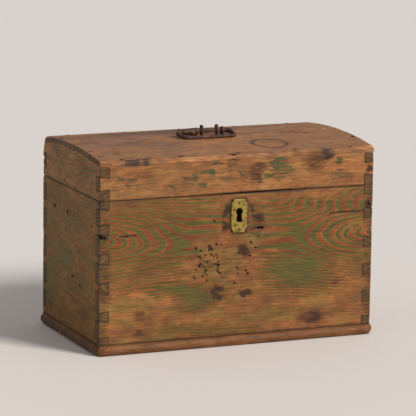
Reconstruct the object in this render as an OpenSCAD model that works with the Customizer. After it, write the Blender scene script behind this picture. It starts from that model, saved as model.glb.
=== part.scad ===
// Dovetailed wooden money box with an arched lid, a lock inside the front and a loop handle

/* [Chest] */
// Width over the front board
chest_w = 450; // [380:5:520]
// Depth over the end boards
chest_d = 245; // [220:5:290]
// Height of the walls above the base board
wall_h = 219; // [180:1:260]
// Thickness of the wall boards, in the chest and in the lid
wall_t = 15; // [13:0.5:18]

/* [Base] */
// Thickness of the base board
base_t = 16; // [12:1:22]
// How far the base board stands out past the walls
base_overhang = 5.5; // [2:0.5:12]

/* [Dovetails] */
// Tails in each corner of the chest
tail_count = 5; // [4:1:6]
// Width of a full pin where it shows on the front
pin_w = 13; // [9:0.5:16]
// Width of the half pins at the rim and at the base
half_pin_w = 12; // [8:0.5:15]
// Width of the half pins in the corners of the lid
lid_pin_w = 15; // [10:0.5:18]
// How much each side of a pin flares towards the inside of the box
pin_flare = 1.8; // [1:0.1:3]
// Gap between two joined faces
joint_gap = 0.1; // [0.05:0.01:0.2]

/* [Lid] */
// Height of the lid's front rail
lid_front_h = 51; // [48:1:65]
// Radius of the arch under the top board
arch_r = 910; // [600:10:1200]
// How far the crown of the arch lies behind the middle of the box
crown_back = 5; // [0:1:40]
// Thickness of the top board
top_t = 8; // [6:0.5:10]
// Gap between the lid and the rim of the chest
lid_gap = 0.4; // [0.3:0.1:1]
// Angle at which the bevelled back edges stop the lid
lid_stop_angle = 108; // [96:1:116]

/* [Nails] */
// Diameter of the large nails in the base and the lid top
nail_d = 2.6; // [2:0.1:3.4]
// Diameter of their heads
nail_head_d = 7; // [5:0.5:9]
// Length of a large nail past the board that it holds
nail_bite = 20; // [12:1:26]
// Diameter of the small nails in the ironwork
tack_d = 2.2; // [1.6:0.1:2.8]
// Diameter of their heads
tack_head_d = 5; // [4:0.5:6.5]
// Length of a small nail in the wood
tack_bite = 10; // [6:0.5:12]
// Height of a nail head
nail_head_h = 1; // [0.6:0.1:1.6]
// Play of a nail in its hole
nail_play = 0.05; // [0.02:0.01:0.1]
// Distance of the first nail from a corner of the box
corner_room = 37.5; // [25:0.5:60]
// Nails along the front and along the back of the base
base_nail_count = 4; // [2:1:6]
// Nails along the front and along the back of the lid top
top_nail_count = 5; // [3:1:7]

/* [Hinges] */
// Distance of each hinge from the middle of the box
hinge_x = 140; // [100:5:165]
// Width of a hinge strap
strap_w = 34; // [28:1:44]
// Thickness of a hinge strap
strap_t = 2.2; // [1.6:0.1:3]
// Length of a strap down the inside of the back board
lower_strap_l = 75; // [55:1:100]
// Length of a strap up the inside of the lid's back rail
upper_strap_l = 46; // [40:1:50]
// Narrowest width of a strap
strap_neck_w = 15; // [12:0.5:18]
// Radius of the round end of a strap
strap_end_r = 10; // [8:0.5:12]
// Radius of a hinge knuckle
knuckle_r = 4; // [3.4:0.1:5]
// Length of the middle knuckle
mid_knuckle_l = 14; // [10:1:18]
// Play beside a knuckle and around it
knuckle_gap = 0.4; // [0.3:0.05:0.8]
// Diameter of a hinge pin
hinge_pin_d = 4; // [3:0.1:4.4]
// Radial play of a hinge pin
pin_play = 0.05; // [0.02:0.01:0.1]

/* [Keyhole] */
// Width of the keyhole plate
escutcheon_w = 26; // [24:0.5:36]
// Height of the keyhole plate
escutcheon_h = 51; // [47:1:64]
// Thickness of the keyhole plate
escutcheon_t = 1.6; // [1:0.1:2.4]
// Width of its clipped corners
clip_w = 4.5; // [2:0.5:6]
// Height of its clipped corners
clip_h = 7; // [4:0.5:10]
// Distance from the rim of the chest down to the keyhole plate
escutcheon_drop = 9; // [4:0.5:10]
// Distance from the top of the keyhole plate down to its upper pin
upper_pin_inset = 5.5; // [4:0.5:7]
// Distance from the bottom of the keyhole plate up to its lower pin
lower_pin_inset = 5; // [4:0.5:10]
// Diameter of the plate's pins
escutcheon_pin_d = 1.8; // [1.2:0.1:2.4]
// Diameter of their heads
escutcheon_pin_head_d = 4.2; // [3:0.1:5]
// Distance from the rim down to the middle of the round part of the keyhole
key_drop = 28; // [25:0.5:30]
// Diameter of the round part of the keyhole
key_round_d = 11; // [9:0.5:13]
// Width of the keyhole at its waist
key_waist_w = 7; // [5:0.5:8]
// Width of the keyhole at its foot
key_foot_w = 9.5; // [7:0.5:11]
// Distance from the middle of the round part down to the foot of the keyhole
key_foot_drop = 16; // [14:0.5:20]

/* [Lock] */
// Width of the lock plate
lock_plate_w = 106; // [100:1:130]
// Height of the lock plate
lock_plate_h = 70; // [62:1:90]
// Thickness of the lock plate
lock_plate_t = 2; // [1.5:0.1:3]
// Width of the lock case
lock_case_w = 88; // [84:1:92]
// Height of the lock case
lock_case_h = 54; // [50:1:60]
// Depth of the lock case
lock_case_d = 16; // [15:0.5:22]
// Thickness of the lock case's walls
lock_case_t = 1.6; // [1:0.1:2]
// Distance from the rim down to the lock
lock_drop = 1.5; // [1:0.1:2]
// Reach of a key's bit from the middle of the pin that the key turns on
key_bit_r = 15; // [14:0.1:15.5]
// Room above the turning bit in the bolt's notch
key_bit_room = 0.7; // [0.4:0.1:1]
// Distance from the middle of the key pin up to the bolt
bolt_rise = 11; // [10.5:0.1:12]
// Height of the bolt
bolt_h = 7.5; // [7:0.1:8]
// Thickness of the bolt
bolt_t = 4.4; // [3.6:0.1:5]
// Width of the notch that the bit pushes the bolt by
key_notch_w = 12; // [10:0.5:13]
// Travel of the bolt
bolt_throw = 10; // [8:0.5:11]
// Play of the bolt in its keepers
bolt_play = 0.15; // [0.1:0.01:0.25]
// Thickness of the keepers' walls
keeper_wall = 1.5; // [1:0.1:1.6]
// Length of a keeper along the bolt
keeper_l = 4; // [3:0.5:5]
// Distance of the right keeper from the turning bit
keeper_room = 3; // [2:0.5:3.5]
// Diameter of the key pin
key_pin_d = 5; // [3.5:0.1:5.5]
// Diameter of the key pin's riveted head
key_rivet_d = 8; // [7:0.1:9]
// Thickness of the leaf spring
spring_t = 0.6; // [0.4:0.1:0.8]
// Length of the leaf spring
spring_l = 28; // [24:1:30]
// Gap between the leaf spring and the bolt
spring_gap = 0.3; // [0.2:0.05:0.4]

/* [Lock staple] */
// How far the staple's tongue lies to the left of the keyhole
tongue_left = 24; // [22:0.5:27]
// Gap between the withdrawn bolt and the tongue
bolt_tip_gap = 1; // [0.6:0.1:1.5]
// Width of the staple plate under the lid's front rail
staple_w = 46; // [38:1:60]
// Thickness of the staple plate
staple_t = 2.5; // [2:0.1:3]
// Distance of the staple plate from the front of the rail
staple_inset = 3; // [2:0.5:4]
// Thickness of the staple's tongue along the bolt
tongue_t = 4; // [3:0.1:5]
// Width of the tongue across the bolt
tongue_w = 10; // [9.5:0.1:10.5]
// Room round the bolt in the tongue's eye
tongue_room = 0.5; // [0.4:0.05:0.6]
// Wall under the tongue's eye
tongue_wall = 2.4; // [2:0.1:2.6]
// Room round the tongue in the top of the lock case
tongue_slot_room = 1; // [0.8:0.1:1.2]

/* [Handle] */
// How far the middle of the two eyes lies to the right of the middle of the box
handle_x = 6; // [-20:1:20]
// How far the eyes stand behind the middle of the box
handle_back = 10; // [-10:1:25]
// Distance between the two eyes
eye_spacing = 25; // [20:0.5:32]
// Width of the strip that an eye is bent from
eye_strip_w = 3.2; // [2.6:0.2:6]
// Thickness of that strip
eye_strip_t = 1.8; // [1.4:0.1:2.6]
// Height of an eye above the lid
eye_h = 16; // [14.5:0.5:22]
// Width of the opening in an eye
eye_room = 6.2; // [5.8:0.1:8]
// Length of each clenched leg under the lid top
clench_l = 14; // [9:1:20]
// Diameter of the back bar where it turns in the eyes
loop_bar_d = 5; // [4:0.1:5.4]
// Distance from the middle of an eye to the collar beside it
collar_gap = 7.5; // [5:0.5:10]
// Length of a collar
collar_l = 3; // [2:0.5:4]
// Diameter of a collar
collar_d = 11.4; // [9:0.1:11.8]
// Length of the left shoulder, from its collar to the bend
left_shoulder_l = 22; // [8:1:30]
// Length of the right shoulder, from its collar to the bend
right_shoulder_l = 1; // [1:0.5:12]
// Diameter of a shoulder beside its collar
shoulder_d = 10.8; // [8:0.1:11.2]
// Diameter of the loop at the ends of the back bar
loop_end_d = 6.8; // [5:0.1:7.4]
// Diameter of the grip
loop_grip_d = 4.2; // [3.6:0.1:5]
// Reach of the loop from its back bar to its grip
loop_reach = 31; // [27:1:36]
// Bend radius at the loop's corners
loop_bend_r = 9; // [7:0.5:12]
// Height of the back bar above the lid
loop_bar_h = 6.2; // [6:0.1:8]
// Gap between the lid and the iron that rests on it
grip_gap = 0.3; // [0.2:0.05:0.6]

/* [Hidden] */
$fn = 48;
arch_fn = 720;
nail_fn = 24;
wire_fn = 24;
shoulder_fn = 6;
overcut = 1;
head_taper = 0.7;
chest_nodes = ["base_board", "front_board", "back_board", "left_end_board", "right_end_board", "base_nails"];
front_nodes = ["escutcheon", "escutcheon_pins", "lock_plate", "lock_case", "lock_bolt", "lock_keepers",
    "lock_spring", "lock_key_pin", "lock_nails"];
hinge_nodes = ["left_lower_hinge_strap", "right_lower_hinge_strap", "left_upper_hinge_strap",
    "right_upper_hinge_strap", "hinge_pins", "lower_hinge_nails", "upper_hinge_nails"];
lid_nodes = ["lid_front_rail", "lid_back_rail", "lid_left_end", "lid_right_end", "lid_top_board",
    "lid_top_nails", "lock_staple", "staple_nails"];
handle_nodes = ["left_handle_eye", "right_handle_eye", "handle_loop"];

// Heights: rim of the chest, underside of the lid and centre of the lid's arch
rim_z = base_t + wall_h;
lid_z = rim_z + lid_gap;
arch_z = lid_z + lid_front_h - sqrt(pow(arch_r, 2) - pow(chest_d / 2 + crown_back, 2));
top_r = arch_r + top_t;
lid_crown_z = arch_z + arch_r + overcut;

// Depths: outer and inner faces of the front and back boards
front_y = -chest_d / 2;
front_in_y = front_y + wall_t;
back_y = chest_d / 2;
back_in_y = back_y - wall_t;

// Pins in the corners, each as low edge, high edge, flare of the low edge, flare of the high edge
chest_pins = [for (i = [0 : tail_count])
    let (z = base_t + i * wall_h / tail_count)
    i == 0 ? [z, z + half_pin_w, 0, 1]
    : i == tail_count ? [z - half_pin_w, z, 1, 0]
    : [z - pin_w / 2, z + pin_w / 2, 1, 1]];
lid_pins = [
    [lid_z, lid_z + lid_pin_w, 0, 1],
    [lid_z + lid_front_h - lid_pin_w, lid_crown_z, 1, 0]];
function flare_at(depth) = pin_flare * depth / wall_t;

// Places of the nails in the base, as seen from above
nail_span = chest_w - 2 * corner_room;
end_nail_span = chest_d / 2;
base_nail_spots = concat(
    [for (y = [-1, 1], i = [0 : base_nail_count - 1])
        [(i / (base_nail_count - 1) - 0.5) * nail_span, y * (back_y - wall_t / 2)]],
    [for (x = [-1, 1], y = [-1, 1]) [x * (chest_w - wall_t) / 2, y * end_nail_span / 2]]);

// Places of the nails in the lid top, as distance along the box and angle on the arch
function arch_angle(y) = asin((y - crown_back) / top_r);
top_nail_spots = concat(
    [for (y = [-1, 1], i = [0 : top_nail_count - 1])
        [(i / (top_nail_count - 1) - 0.5) * nail_span, arch_angle(y * (back_y - wall_t / 2))]],
    [for (x = [-1, 1], y = [-1, 1]) [x * (chest_w - wall_t) / 2, arch_angle(y * end_nail_span / 2)]]);

// Hinge axis, and places of the nails in a strap as offset and distance from the bend
hinge_y = back_y - knuckle_r;
hinge_z = rim_z + lid_gap / 2;
strap_nail_x = strap_w / 4;
strap_nail_z = strap_t + strap_w / 3;
function strap_nail_spots(length) = [
    [-strap_nail_x, strap_nail_z], [strap_nail_x, strap_nail_z], [0, length - strap_end_r]];

// Lock: faces of the plate and case, heights of the key and of the bolt, and places along the bolt
case_y = front_in_y + lock_plate_t;
case_back_y = case_y + lock_case_d;
case_top_z = rim_z - lock_drop;
case_ceiling_z = case_top_z - lock_case_t;
key_z = rim_z - key_drop;
key_pin_tip_y = case_y + lock_case_d / 4;
bolt_y = case_y + (lock_case_d - lock_case_t) / 2;
bolt_low_z = key_z + bolt_rise;
bolt_z = bolt_low_z + bolt_h / 2;
bolt_tip_x = -tongue_left + tongue_t / 2 + bolt_tip_gap;
left_keeper_x = bolt_tip_x + bolt_tip_gap;
right_keeper_x = key_bit_r + keeper_room;
bolt_end_x = right_keeper_x + keeper_l + bolt_throw + bolt_tip_gap;
key_notch_h = key_bit_r - bolt_rise + key_bit_room;
plate_nail_inset = (lock_plate_w - lock_case_w) / 4;
plate_nail_spots = [for (x = [-1, 1], z = [plate_nail_inset, lock_plate_h - plate_nail_inset])
    [x * (lock_plate_w / 2 - plate_nail_inset), case_top_z - z]];
escutcheon_top_z = rim_z - escutcheon_drop;
escutcheon_pin_spots = [escutcheon_top_z - upper_pin_inset,
    escutcheon_top_z - escutcheon_h + lower_pin_inset];
staple_front_y = front_y + staple_inset;
staple_nail_x = staple_w / 3;
staple_nail_y = front_y + wall_t / 2;

// Handle: angle of the eyes on the arch, and droop of the loop that lays its grip on the lid
handle_angle = arch_angle(handle_back);
collar_x = eye_spacing / 2 + collar_gap;
left_bend_x = -collar_x - collar_l - left_shoulder_l;
right_bend_x = collar_x + collar_l + right_shoulder_l;
loop_pivot_r = top_r + loop_bar_h;
grip_r = top_r + grip_gap + loop_grip_d / 2;
loop_droop = asin((pow(loop_pivot_r, 2) + pow(loop_reach, 2) - pow(grip_r, 2))
    / (2 * loop_pivot_r * loop_reach));

// An outline in width and height, made solid between two depths
module solid_between(y_low, y_high) {
    translate([0, y_high, 0])
        rotate([90, 0, 0])
        linear_extrude(y_high - y_low)
        children();
}

// An outline in depth and height, made solid along the width
module solid_along(length) {
    rotate([90, 0, 90])
        linear_extrude(length, center = true)
        children();
}

// A box between two corners
module block(low, high) {
    translate(low)
        cube(high - low);
}

// Puts a shape at one end of the box, with its own X pointing inwards
module at_end(side) {
    translate([side * chest_w / 2, 0, 0])
        mirror([side > 0 ? 1 : 0, 0, 0])
        children();
}

// Puts a shape on the lid's arch, with its own Z pointing out of the lid top
module on_arch(x, angle) {
    translate([x, crown_back, arch_z])
        rotate([-angle, 0, 0])
        translate([0, 0, top_r])
        children();
}

// Everything inside the arch of the given radius
module arch_fill(radius) {
    translate([0, crown_back, arch_z])
        rotate([0, 90, 0])
        cylinder(r = radius, h = chest_w + 2 * overcut, center = true, $fn = arch_fn);
}

// A nail whose head sits on the plane z = 0, with its shank below
module nail(shank_d, length, head_d) {
    translate([0, 0, -length])
        cylinder(d = shank_d, h = length + nail_head_h / 2, $fn = nail_fn);
    cylinder(d1 = head_d, d2 = head_d * head_taper, h = nail_head_h, $fn = nail_fn);
}

// The hole of a nail, with a recess for its head above the plane z = 0
module nail_hole(shank_d, length, head_d) {
    translate([0, 0, -length])
        cylinder(d = shank_d + 2 * nail_play, h = length + overcut, $fn = nail_fn);
    cylinder(d = head_d + 2 * joint_gap, h = nail_head_h + overcut, $fn = nail_fn);
}

// The nails of the base or their holes
module at_base_nails() {
    for (spot = base_nail_spots)
        translate([spot[0], spot[1], nail_head_h])
        rotate([180, 0, 0])
        children();
}

// The nails of the lid top or their holes
module at_top_nails() {
    for (spot = top_nail_spots)
        on_arch(spot[0], spot[1])
        translate([0, 0, -nail_head_h / 2])
        children();
}

// The nails of one end's straps or their holes, driven towards the back
module at_strap_nails(length, direction) {
    for (side = [-1, 1], spot = strap_nail_spots(length))
        translate([side * hinge_x + spot[0], back_in_y - strap_t,
            (direction > 0 ? lid_z : rim_z) + direction * spot[1]])
        rotate([90, 0, 0])
        children();
}

// The nails of the lock plate or their holes, driven towards the front
module at_plate_nails() {
    for (spot = plate_nail_spots)
        translate([spot[0], case_y, spot[1]])
        rotate([-90, 0, 0])
        children();
}

// The nails of the lock staple or their holes, driven up into the rail
module at_staple_nails() {
    for (side = [-1, 1])
        translate([side * staple_nail_x - tongue_left, staple_nail_y, lid_z + nail_head_h])
        rotate([180, 0, 0])
        children();
}

// The pins of the keyhole plate or their holes, driven towards the back
module at_escutcheon_pins() {
    for (z = escutcheon_pin_spots)
        translate([0, front_y - escutcheon_t, z])
        rotate([90, 0, 0])
        children();
}

// One dovetail pin, seen from the front, between two depths from the end of the box
module pin_outline(pin, outer, inner, grow) {
    polygon([
        [outer, pin[0] - pin[2] * flare_at(outer) - grow],
        [outer, pin[1] + pin[3] * flare_at(outer) + grow],
        [inner, pin[1] + pin[3] * flare_at(inner) + grow],
        [inner, pin[0] - pin[2] * flare_at(inner) - grow]]);
}

// A board that carries tails: it runs the full width and has a socket for each pin
module tail_board(y_low, z_low, z_high, pins) {
    difference() {
        block([-chest_w / 2, y_low, z_low], [chest_w / 2, y_low + wall_t, z_high]);
        for (side = [-1, 1], pin = pins)
            at_end(side)
            solid_between(y_low - overcut, y_low + wall_t + overcut)
            pin_outline(pin, -overcut, wall_t + joint_gap, joint_gap);
    }
}

// A board that carries pins: it fits between the tail boards and its pins pass through them
module pin_board(side, z_low, z_high, pins) {
    shoulder = chest_d / 2 - wall_t - joint_gap;
    at_end(side) {
        block([0, -shoulder, z_low], [wall_t, shoulder, z_high]);
        for (pin = pins, front = [0, 1])
            mirror([0, front, 0])
            solid_between(shoulder - overcut, chest_d / 2)
            pin_outline(pin, 0, wall_t, 0);
    }
}

// The bevel behind the hinge axis, on the chest's rim or on the lid
module back_bevel(z, direction) {
    run = knuckle_r + overcut;
    fall = run * tan(lid_stop_angle / 2);
    solid_along(chest_w + 2 * overcut)
        polygon([
            [hinge_y, z],
            [hinge_y + run, z + direction * fall],
            [hinge_y + run, z - direction * overcut],
            [hinge_y, z - direction * overcut]]);
}

// The room that one hinge takes out of a back edge: knuckles and the strap's tongue
module hinge_mortise(side, z_low, z_high) {
    translate([side * hinge_x, 0, 0]) {
        translate([0, hinge_y, hinge_z])
            rotate([0, 90, 0])
            cylinder(r = knuckle_r + knuckle_gap, h = strap_w + 2 * knuckle_gap, center = true);
        half = strap_w / 2 + joint_gap;
        block([-half, back_in_y - overcut, z_low], [half, hinge_y, z_high]);
    }
}

// The keyhole, widened on all sides by the given amount
module keyhole_outline(grow) {
    translate([0, key_z])
        circle(d = key_round_d + 2 * grow);
    waist = key_waist_w / 2 + grow;
    foot = key_foot_w / 2 + grow;
    polygon([[-waist, key_z], [waist, key_z],
        [foot, key_z - key_foot_drop - grow], [-foot, key_z - key_foot_drop - grow]]);
}

// An edge outline with full-round ends
module rounded_edge_outline(length) {
    translate([-(length - base_t) / 2, 0])
        square([length - base_t, base_t]);
    for (side = [-1, 1])
        translate([side * (length - base_t) / 2, base_t / 2])
        circle(d = base_t);
}

module base_board() {
    base_w = chest_w + 2 * base_overhang;
    base_d = chest_d + 2 * base_overhang;
    color("peru")
        difference() {
            intersection() {
                solid_along(base_w)
                    rounded_edge_outline(base_d);
                solid_between(-base_d / 2, base_d / 2)
                    rounded_edge_outline(base_w);
            }
            at_base_nails()
                nail_hole(nail_d, base_t + nail_bite, nail_head_d);
        }
}

module front_board() {
    color("sienna")
        difference() {
            tail_board(front_y, base_t, rim_z, chest_pins);
            solid_between(front_y - overcut, front_in_y + overcut)
                keyhole_outline(joint_gap);
            at_base_nails()
                nail_hole(nail_d, base_t + nail_bite, nail_head_d);
            at_plate_nails()
                nail_hole(tack_d, lock_plate_t + tack_bite, tack_head_d);
            at_escutcheon_pins()
                nail_hole(escutcheon_pin_d, escutcheon_t + tack_bite, escutcheon_pin_head_d);
        }
}

module back_board() {
    color("sienna")
        difference() {
            tail_board(back_in_y, base_t, rim_z, chest_pins);
            back_bevel(rim_z, -1);
            for (side = [-1, 1])
                hinge_mortise(side, rim_z - strap_t - joint_gap, rim_z + overcut);
            at_base_nails()
                nail_hole(nail_d, base_t + nail_bite, nail_head_d);
            at_strap_nails(lower_strap_l, -1)
                nail_hole(tack_d, strap_t + tack_bite, tack_head_d);
        }
}

module end_board(side) {
    color("saddlebrown")
        difference() {
            pin_board(side, base_t, rim_z, chest_pins);
            back_bevel(rim_z, -1);
            at_base_nails()
                nail_hole(nail_d, base_t + nail_bite, nail_head_d);
        }
}

module left_end_board() {
    end_board(-1);
}

module right_end_board() {
    end_board(1);
}

module base_nails() {
    color("dimgray")
        at_base_nails()
        nail(nail_d, base_t - nail_head_h + nail_bite, nail_head_d);
}

module escutcheon() {
    half = escutcheon_w / 2;
    top = escutcheon_top_z;
    foot = escutcheon_top_z - escutcheon_h;
    color("goldenrod")
        difference() {
            solid_between(front_y - escutcheon_t, front_y)
                difference() {
                    polygon([
                        [-half + clip_w, top], [half - clip_w, top], [half, top - clip_h],
                        [half, foot + clip_h], [half - clip_w, foot],
                        [-half + clip_w, foot], [-half, foot + clip_h], [-half, top - clip_h]]);
                    keyhole_outline(0);
                }
            at_escutcheon_pins()
                nail_hole(escutcheon_pin_d, escutcheon_t + overcut, escutcheon_pin_head_d);
        }
}

module escutcheon_pins() {
    color("darkgoldenrod")
        at_escutcheon_pins()
        nail(escutcheon_pin_d, escutcheon_t + tack_bite - overcut, escutcheon_pin_head_d);
}

module lock_plate() {
    color("dimgray")
        difference() {
            block([-lock_plate_w / 2, front_in_y, case_top_z - lock_plate_h],
                [lock_plate_w / 2, case_y, case_top_z]);
            solid_between(front_in_y - overcut, case_y + overcut)
                keyhole_outline(0);
            at_plate_nails()
                nail_hole(tack_d, lock_plate_t + overcut, tack_head_d);
        }
}

module lock_case() {
    half = lock_case_w / 2;
    inner = half - lock_case_t;
    foot_z = case_top_z - lock_case_h;
    slot_x = tongue_t / 2 + tongue_slot_room;
    slot_y = tongue_w / 2 + tongue_slot_room;
    color("slategray")
        difference() {
            block([-half, case_y, foot_z], [half, case_back_y, case_top_z]);
            block([-inner, case_y - overcut, foot_z + lock_case_t],
                [inner, case_back_y - lock_case_t, case_ceiling_z]);
            block([-tongue_left - slot_x, bolt_y - slot_y, case_ceiling_z - overcut],
                [-tongue_left + slot_x, bolt_y + slot_y, case_top_z + overcut]);
            translate([0, case_back_y, key_z])
                rotate([90, 0, 0])
                cylinder(d = key_pin_d + 2 * joint_gap, h = 2 * (lock_case_t + overcut), center = true);
        }
}

module lock_bolt() {
    low_y = bolt_y - bolt_t / 2;
    high_y = bolt_y + bolt_t / 2;
    notch_x = bolt_throw / 2;
    color("silver")
        difference() {
            block([bolt_tip_x, low_y, bolt_low_z], [bolt_end_x, high_y, bolt_low_z + bolt_h]);
            block([notch_x - key_notch_w / 2, low_y - overcut, bolt_low_z - overcut],
                [notch_x + key_notch_w / 2, high_y + overcut, bolt_low_z + key_notch_h]);
        }
}

// A closed keeper on the lock plate, round the bolt
module keeper(x) {
    room_y = bolt_t / 2 + bolt_play;
    room_z = bolt_h / 2 + bolt_play;
    difference() {
        block([x, case_y, bolt_z - room_z - keeper_wall],
            [x + keeper_l, bolt_y + room_y + keeper_wall, bolt_z + room_z + keeper_wall]);
        block([x - overcut, bolt_y - room_y, bolt_z - room_z],
            [x + keeper_l + overcut, bolt_y + room_y, bolt_z + room_z]);
    }
}

module lock_keepers() {
    color("gray") {
        keeper(left_keeper_x);
        keeper(right_keeper_x);
    }
}

// A bowed leaf that stands under the top of the lock case and bears on the bolt
module lock_spring() {
    spring_x = (left_keeper_x + keeper_l + right_keeper_x) / 2;
    low_z = bolt_low_z + bolt_h + spring_gap;
    bow = case_ceiling_z - joint_gap - low_z;
    bow_r = (pow(spring_l / 2, 2) + pow(bow, 2)) / (2 * bow);
    color("lightsteelblue")
        solid_between(bolt_y - bolt_t / 2, bolt_y + bolt_t / 2)
        intersection() {
            translate([spring_x, low_z + bow_r])
                difference() {
                    circle(r = bow_r, $fn = arch_fn);
                    circle(r = bow_r - spring_t, $fn = arch_fn);
                }
            translate([spring_x - spring_l / 2, low_z - overcut])
                square([spring_l, bow + overcut]);
        }
}

module lock_key_pin() {
    color("silver")
        translate([0, key_pin_tip_y, key_z])
        rotate([-90, 0, 0]) {
            cylinder(d = key_pin_d, h = case_back_y - key_pin_tip_y);
            translate([0, 0, case_back_y - key_pin_tip_y])
                cylinder(d1 = key_rivet_d, d2 = key_rivet_d * head_taper, h = nail_head_h);
        }
}

module lock_nails() {
    color("dimgray")
        at_plate_nails()
        nail(tack_d, lock_plate_t + tack_bite - overcut, tack_head_d);
}

// A strap from its bend to its round end, seen from the front, growing upwards
module strap_outline(length) {
    neck_z = length - strap_end_r;
    translate([0, neck_z])
        circle(r = strap_end_r);
    polygon([[-strap_w / 2, 0], [strap_w / 2, 0], [strap_neck_w / 2, neck_z], [-strap_neck_w / 2, neck_z]]);
}

// Knuckles of a hinge between two places along its axis
module knuckles(low, high, radius) {
    translate([low, hinge_y, hinge_z])
        rotate([0, 90, 0])
        cylinder(r = radius, h = high - low);
}

// One strap of a hinge: knuckles on the axis, a tongue through the seam, then a strap on the wall
module hinge_strap(side, direction, length) {
    bend_z = direction > 0 ? lid_z : rim_z;
    mid = mid_knuckle_l / 2;
    half = strap_w / 2;
    own = direction > 0 ? [[-half, -mid - knuckle_gap], [mid + knuckle_gap, half]] : [[-mid, mid]];
    other = direction > 0 ? [[-mid - knuckle_gap, mid + knuckle_gap]]
        : [[-half - overcut, -mid], [mid, half + overcut]];
    tongue_end_y = hinge_y - hinge_pin_d / 2 - pin_play - knuckle_gap;
    color("darkslategray")
        difference() {
            translate([side * hinge_x, 0, 0])
                difference() {
                    union() {
                        for (span = own)
                            knuckles(span[0], span[1], knuckle_r);
                        difference() {
                            block([-half, back_in_y - strap_t, min(bend_z, bend_z + direction * strap_t)],
                                [half, tongue_end_y, max(bend_z, bend_z + direction * strap_t)]);
                            for (span = other)
                                knuckles(span[0], span[1], knuckle_r + knuckle_gap);
                        }
                        translate([0, 0, bend_z])
                            solid_between(back_in_y - strap_t, back_in_y)
                            mirror([0, direction > 0 ? 0 : 1])
                            strap_outline(length);
                    }
                    knuckles(-strap_w, strap_w, hinge_pin_d / 2 + pin_play);
                }
            at_strap_nails(length, direction)
                nail_hole(tack_d, strap_t + overcut, tack_head_d);
        }
}

module left_lower_hinge_strap() {
    hinge_strap(-1, -1, lower_strap_l);
}

module right_lower_hinge_strap() {
    hinge_strap(1, -1, lower_strap_l);
}

module left_upper_hinge_strap() {
    hinge_strap(-1, 1, upper_strap_l);
}

module right_upper_hinge_strap() {
    hinge_strap(1, 1, upper_strap_l);
}

module hinge_pins() {
    color("gray")
        for (side = [-1, 1])
            translate([side * hinge_x, 0, 0])
            knuckles(-strap_w / 2, strap_w / 2, hinge_pin_d / 2);
}

module lower_hinge_nails() {
    color("dimgray")
        at_strap_nails(lower_strap_l, -1)
        nail(tack_d, strap_t + tack_bite - overcut, tack_head_d);
}

module upper_hinge_nails() {
    color("dimgray")
        at_strap_nails(upper_strap_l, 1)
        nail(tack_d, strap_t + tack_bite - overcut, tack_head_d);
}

module lid_front_rail() {
    half = staple_w / 2 + joint_gap;
    color("peru")
        difference() {
            intersection() {
                tail_board(front_y, lid_z, lid_crown_z, lid_pins);
                arch_fill(arch_r - joint_gap);
            }
            block([-tongue_left - half, staple_front_y - joint_gap, lid_z - overcut],
                [-tongue_left + half, front_in_y + overcut, lid_z + staple_t + joint_gap]);
            at_staple_nails()
                nail_hole(tack_d, staple_t + tack_bite, tack_head_d);
            at_top_nails()
                nail_hole(nail_d, top_t + nail_bite, nail_head_d);
        }
}

module lid_back_rail() {
    color("peru")
        difference() {
            intersection() {
                tail_board(back_in_y, lid_z, lid_crown_z, lid_pins);
                arch_fill(arch_r - joint_gap);
            }
            back_bevel(lid_z, 1);
            for (side = [-1, 1])
                hinge_mortise(side, lid_z - overcut, lid_z + strap_t + joint_gap);
            at_strap_nails(upper_strap_l, 1)
                nail_hole(tack_d, strap_t + tack_bite, tack_head_d);
            at_top_nails()
                nail_hole(nail_d, top_t + nail_bite, nail_head_d);
        }
}

module lid_end(side) {
    color("saddlebrown")
        difference() {
            intersection() {
                pin_board(side, lid_z, lid_crown_z, lid_pins);
                arch_fill(arch_r - joint_gap);
            }
            back_bevel(lid_z, 1);
            at_top_nails()
                nail_hole(nail_d, top_t + nail_bite, nail_head_d);
        }
}

module lid_left_end() {
    lid_end(-1);
}

module lid_right_end() {
    lid_end(1);
}

// The arched board, seen from its end, with full-round front and back edges
module top_board_outline() {
    mid_r = arch_r + top_t / 2;
    front_angle = asin((front_y + top_t / 2 - crown_back) / mid_r);
    back_angle = asin((back_y - top_t / 2 - crown_back) / mid_r);
    reach = 2 * mid_r;
    translate([crown_back, arch_z]) {
        intersection() {
            difference() {
                circle(r = top_r, $fn = arch_fn);
                circle(r = arch_r, $fn = arch_fn);
            }
            polygon([[0, 0],
                [reach * sin(front_angle), reach * cos(front_angle)],
                [reach * sin(back_angle), reach * cos(back_angle)]]);
        }
        for (angle = [front_angle, back_angle])
            translate([mid_r * sin(angle), mid_r * cos(angle)])
            circle(d = top_t);
    }
}

module lid_top_board() {
    slot_w = eye_strip_w + 2 * joint_gap;
    slot_d = 2 * (eye_strip_t + joint_gap);
    color("rosybrown")
        difference() {
            solid_along(chest_w)
                top_board_outline();
            at_top_nails()
                nail_hole(nail_d, top_t + nail_bite, nail_head_d);
            for (side = [-1, 1])
                on_arch(handle_x + side * eye_spacing / 2, handle_angle)
                cube([slot_w, slot_d, 2 * (top_t + overcut)], center = true);
        }
}

module lid_top_nails() {
    color("dimgray")
        at_top_nails()
        nail(nail_d, top_t + nail_bite - nail_head_h, nail_head_d);
}

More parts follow.
